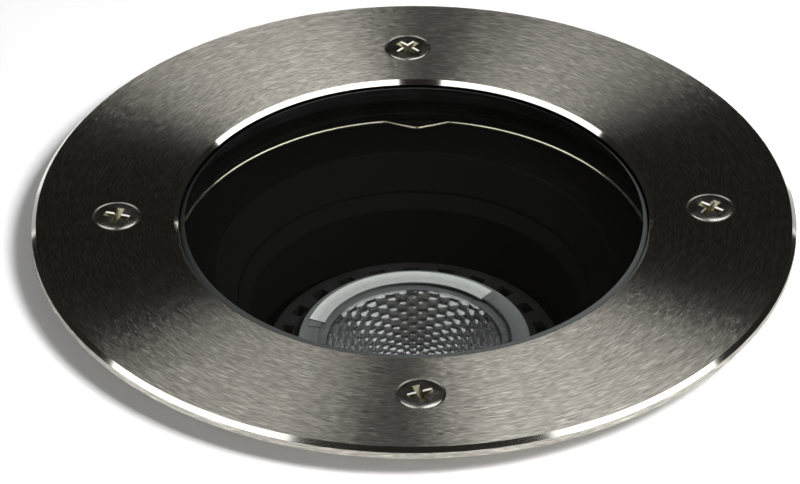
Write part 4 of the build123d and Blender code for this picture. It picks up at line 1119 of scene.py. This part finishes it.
# %% [markdown]
# Two long raised grips lean towards the middle, which makes them brighter than the ring between
# them, and they are also painted in a lighter silver, which is painted light. Each ends in a small
# lug for the tool that turns the lamp. They could be extruded from the ring's faces, but they end
# between two of its steps. Each is an outline spun by part of a turn instead, and sinks into the
# ring a little, so that no gap shows.

# %% Grips and lugs
grip_start = 42.5             # degrees
grip_span = 120.5             # degrees
grip_inner = 19.9
grip_outer = 23.4
grip_edge = 0.12              # the chamfer at its outer edge
grip_lean = 0.35              # how much lower its inner edge is
sunk_level = low_top - 0.15
lug_span = 5.0                # degrees
lug_inner = grip_inner + 0.7
lug_outer = grip_outer - 0.2
lug_height = 0.25
lug_lean = 0.1

ring_parts = [low_ring]
for start in (grip_start, grip_start + 180):
    ring_parts.append(spun("grip", [
        (grip_inner, sunk_level),
        (grip_outer, sunk_level),
        (grip_outer, grip_top - grip_edge),
        (grip_outer - grip_edge, grip_top),
        (grip_inner, grip_top - grip_lean),
    ], 72, start, grip_span))
    for lug_start in (start - lug_span, start + grip_span):
        ring_parts.append(spun("lug", [
            (lug_inner, sunk_level),
            (lug_outer, sunk_level),
            (lug_outer, low_top + lug_height),
            (lug_inner, low_top + lug_height - lug_lean),
        ], 4, lug_start, lug_span))
lamp_ring = joined(ring_parts, "lamp_ring_dressed")
# The grips wear the much lighter silver, which is painted light.
paint(
    lamp_ring,
    ("lamp_silver", "grip_silver_painted_light"),
    lambda face: 1 if face.center.z / mm > low_top + 0.05 + lug_height else 0,
)
settle(lamp_ring, "lamp", "lamp_silver", "lamp_ring")

# %% [markdown]
# The wire ring is a round spring wire that snaps into a groove in the pot's wall and holds the
# baffle down. Its ends leave a gap at the front, and at the back it is bent into a small V that a
# finger can pull. It could be a ring that is cut and bent, but a wire is easier to lead along its
# middle line. Here that is a chain of points: an arc, the V's two corners and a second arc.

# %% Wire's middle line
wire_low, wire_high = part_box("wire_ring")
wire_radius = (wire_high.z - wire_low.z) / 2 / mm
wire_level = (wire_high.z + wire_low.z) / 2 / mm
wire_ring_radius = wire_high.x / mm - wire_radius
wire_mouth = 4.0              # degrees on each side of the front
kink_turn = -2.0              # degrees that the V stands off the back
kink_half_width = 6.85
kink_depth = 2.7
tip_half_width = 0.7
arc_steps = 150

mouth_end = -90 + kink_turn + wire_mouth
kink_middle = 90 + kink_turn
kink_reach = asin(kink_half_width / wire_ring_radius)
arc_start = radians(mouth_end)
arc_end = radians(kink_middle) - kink_reach
tip_radius = wire_ring_radius - kink_depth
wire_path = []
for step in range(arc_steps + 1):
    angle = arc_start + (arc_end - arc_start) * step / arc_steps
    wire_path.append((wire_ring_radius * cos(angle), wire_ring_radius * sin(angle)))
for side in (-1, 1):
    angle = radians(kink_middle) + side * atan2(tip_half_width, tip_radius)
    wire_path.append((tip_radius * cos(angle), tip_radius * sin(angle)))
for step in range(arc_steps + 1):
    angle = 2 * radians(kink_middle) - arc_end - (arc_start - arc_end) * step / arc_steps
    wire_path.append((wire_ring_radius * cos(angle), wire_ring_radius * sin(angle)))
print("wire path:", len(wire_path), "points")

# %% [markdown]
# A circle with as many points is moved onto that line and opened where its two ends meet. It then
# becomes a curve, which is given the wire's thickness and closed ends, and a mesh again.

# %% Wire ring
bpy.ops.object.select_all(action="DESELECT")
bpy.ops.mesh.primitive_circle_add(vertices=len(wire_path), radius=1.0)
wire = bpy.context.object
wire.name = "wire_ring_dressed"
for point, (x, y) in zip(wire.data.vertices, wire_path):
    point.co = Vector((x, y, wire_level)) * mm
for edge in wire.data.edges:
    edge.select = abs(edge.vertices[0] - edge.vertices[1]) > 1
bpy.ops.object.mode_set(mode="EDIT")
bpy.ops.mesh.select_mode(type="EDGE")
bpy.ops.mesh.delete(type="EDGE")
bpy.ops.object.mode_set(mode="OBJECT")
bpy.ops.object.convert(target="CURVE")
wire = bpy.context.object
wire.data.bevel_depth = wire_radius * mm
wire.data.bevel_resolution = 3
wire.data.use_fill_caps = True
bpy.ops.object.convert(target="MESH")
wire = bpy.context.object
bpy.ops.object.shade_smooth_by_angle(angle=radians(50.0))
paint(wire, ("spring_wire",))
settle(wire, "pot", "spring_wire", "wire_ring")
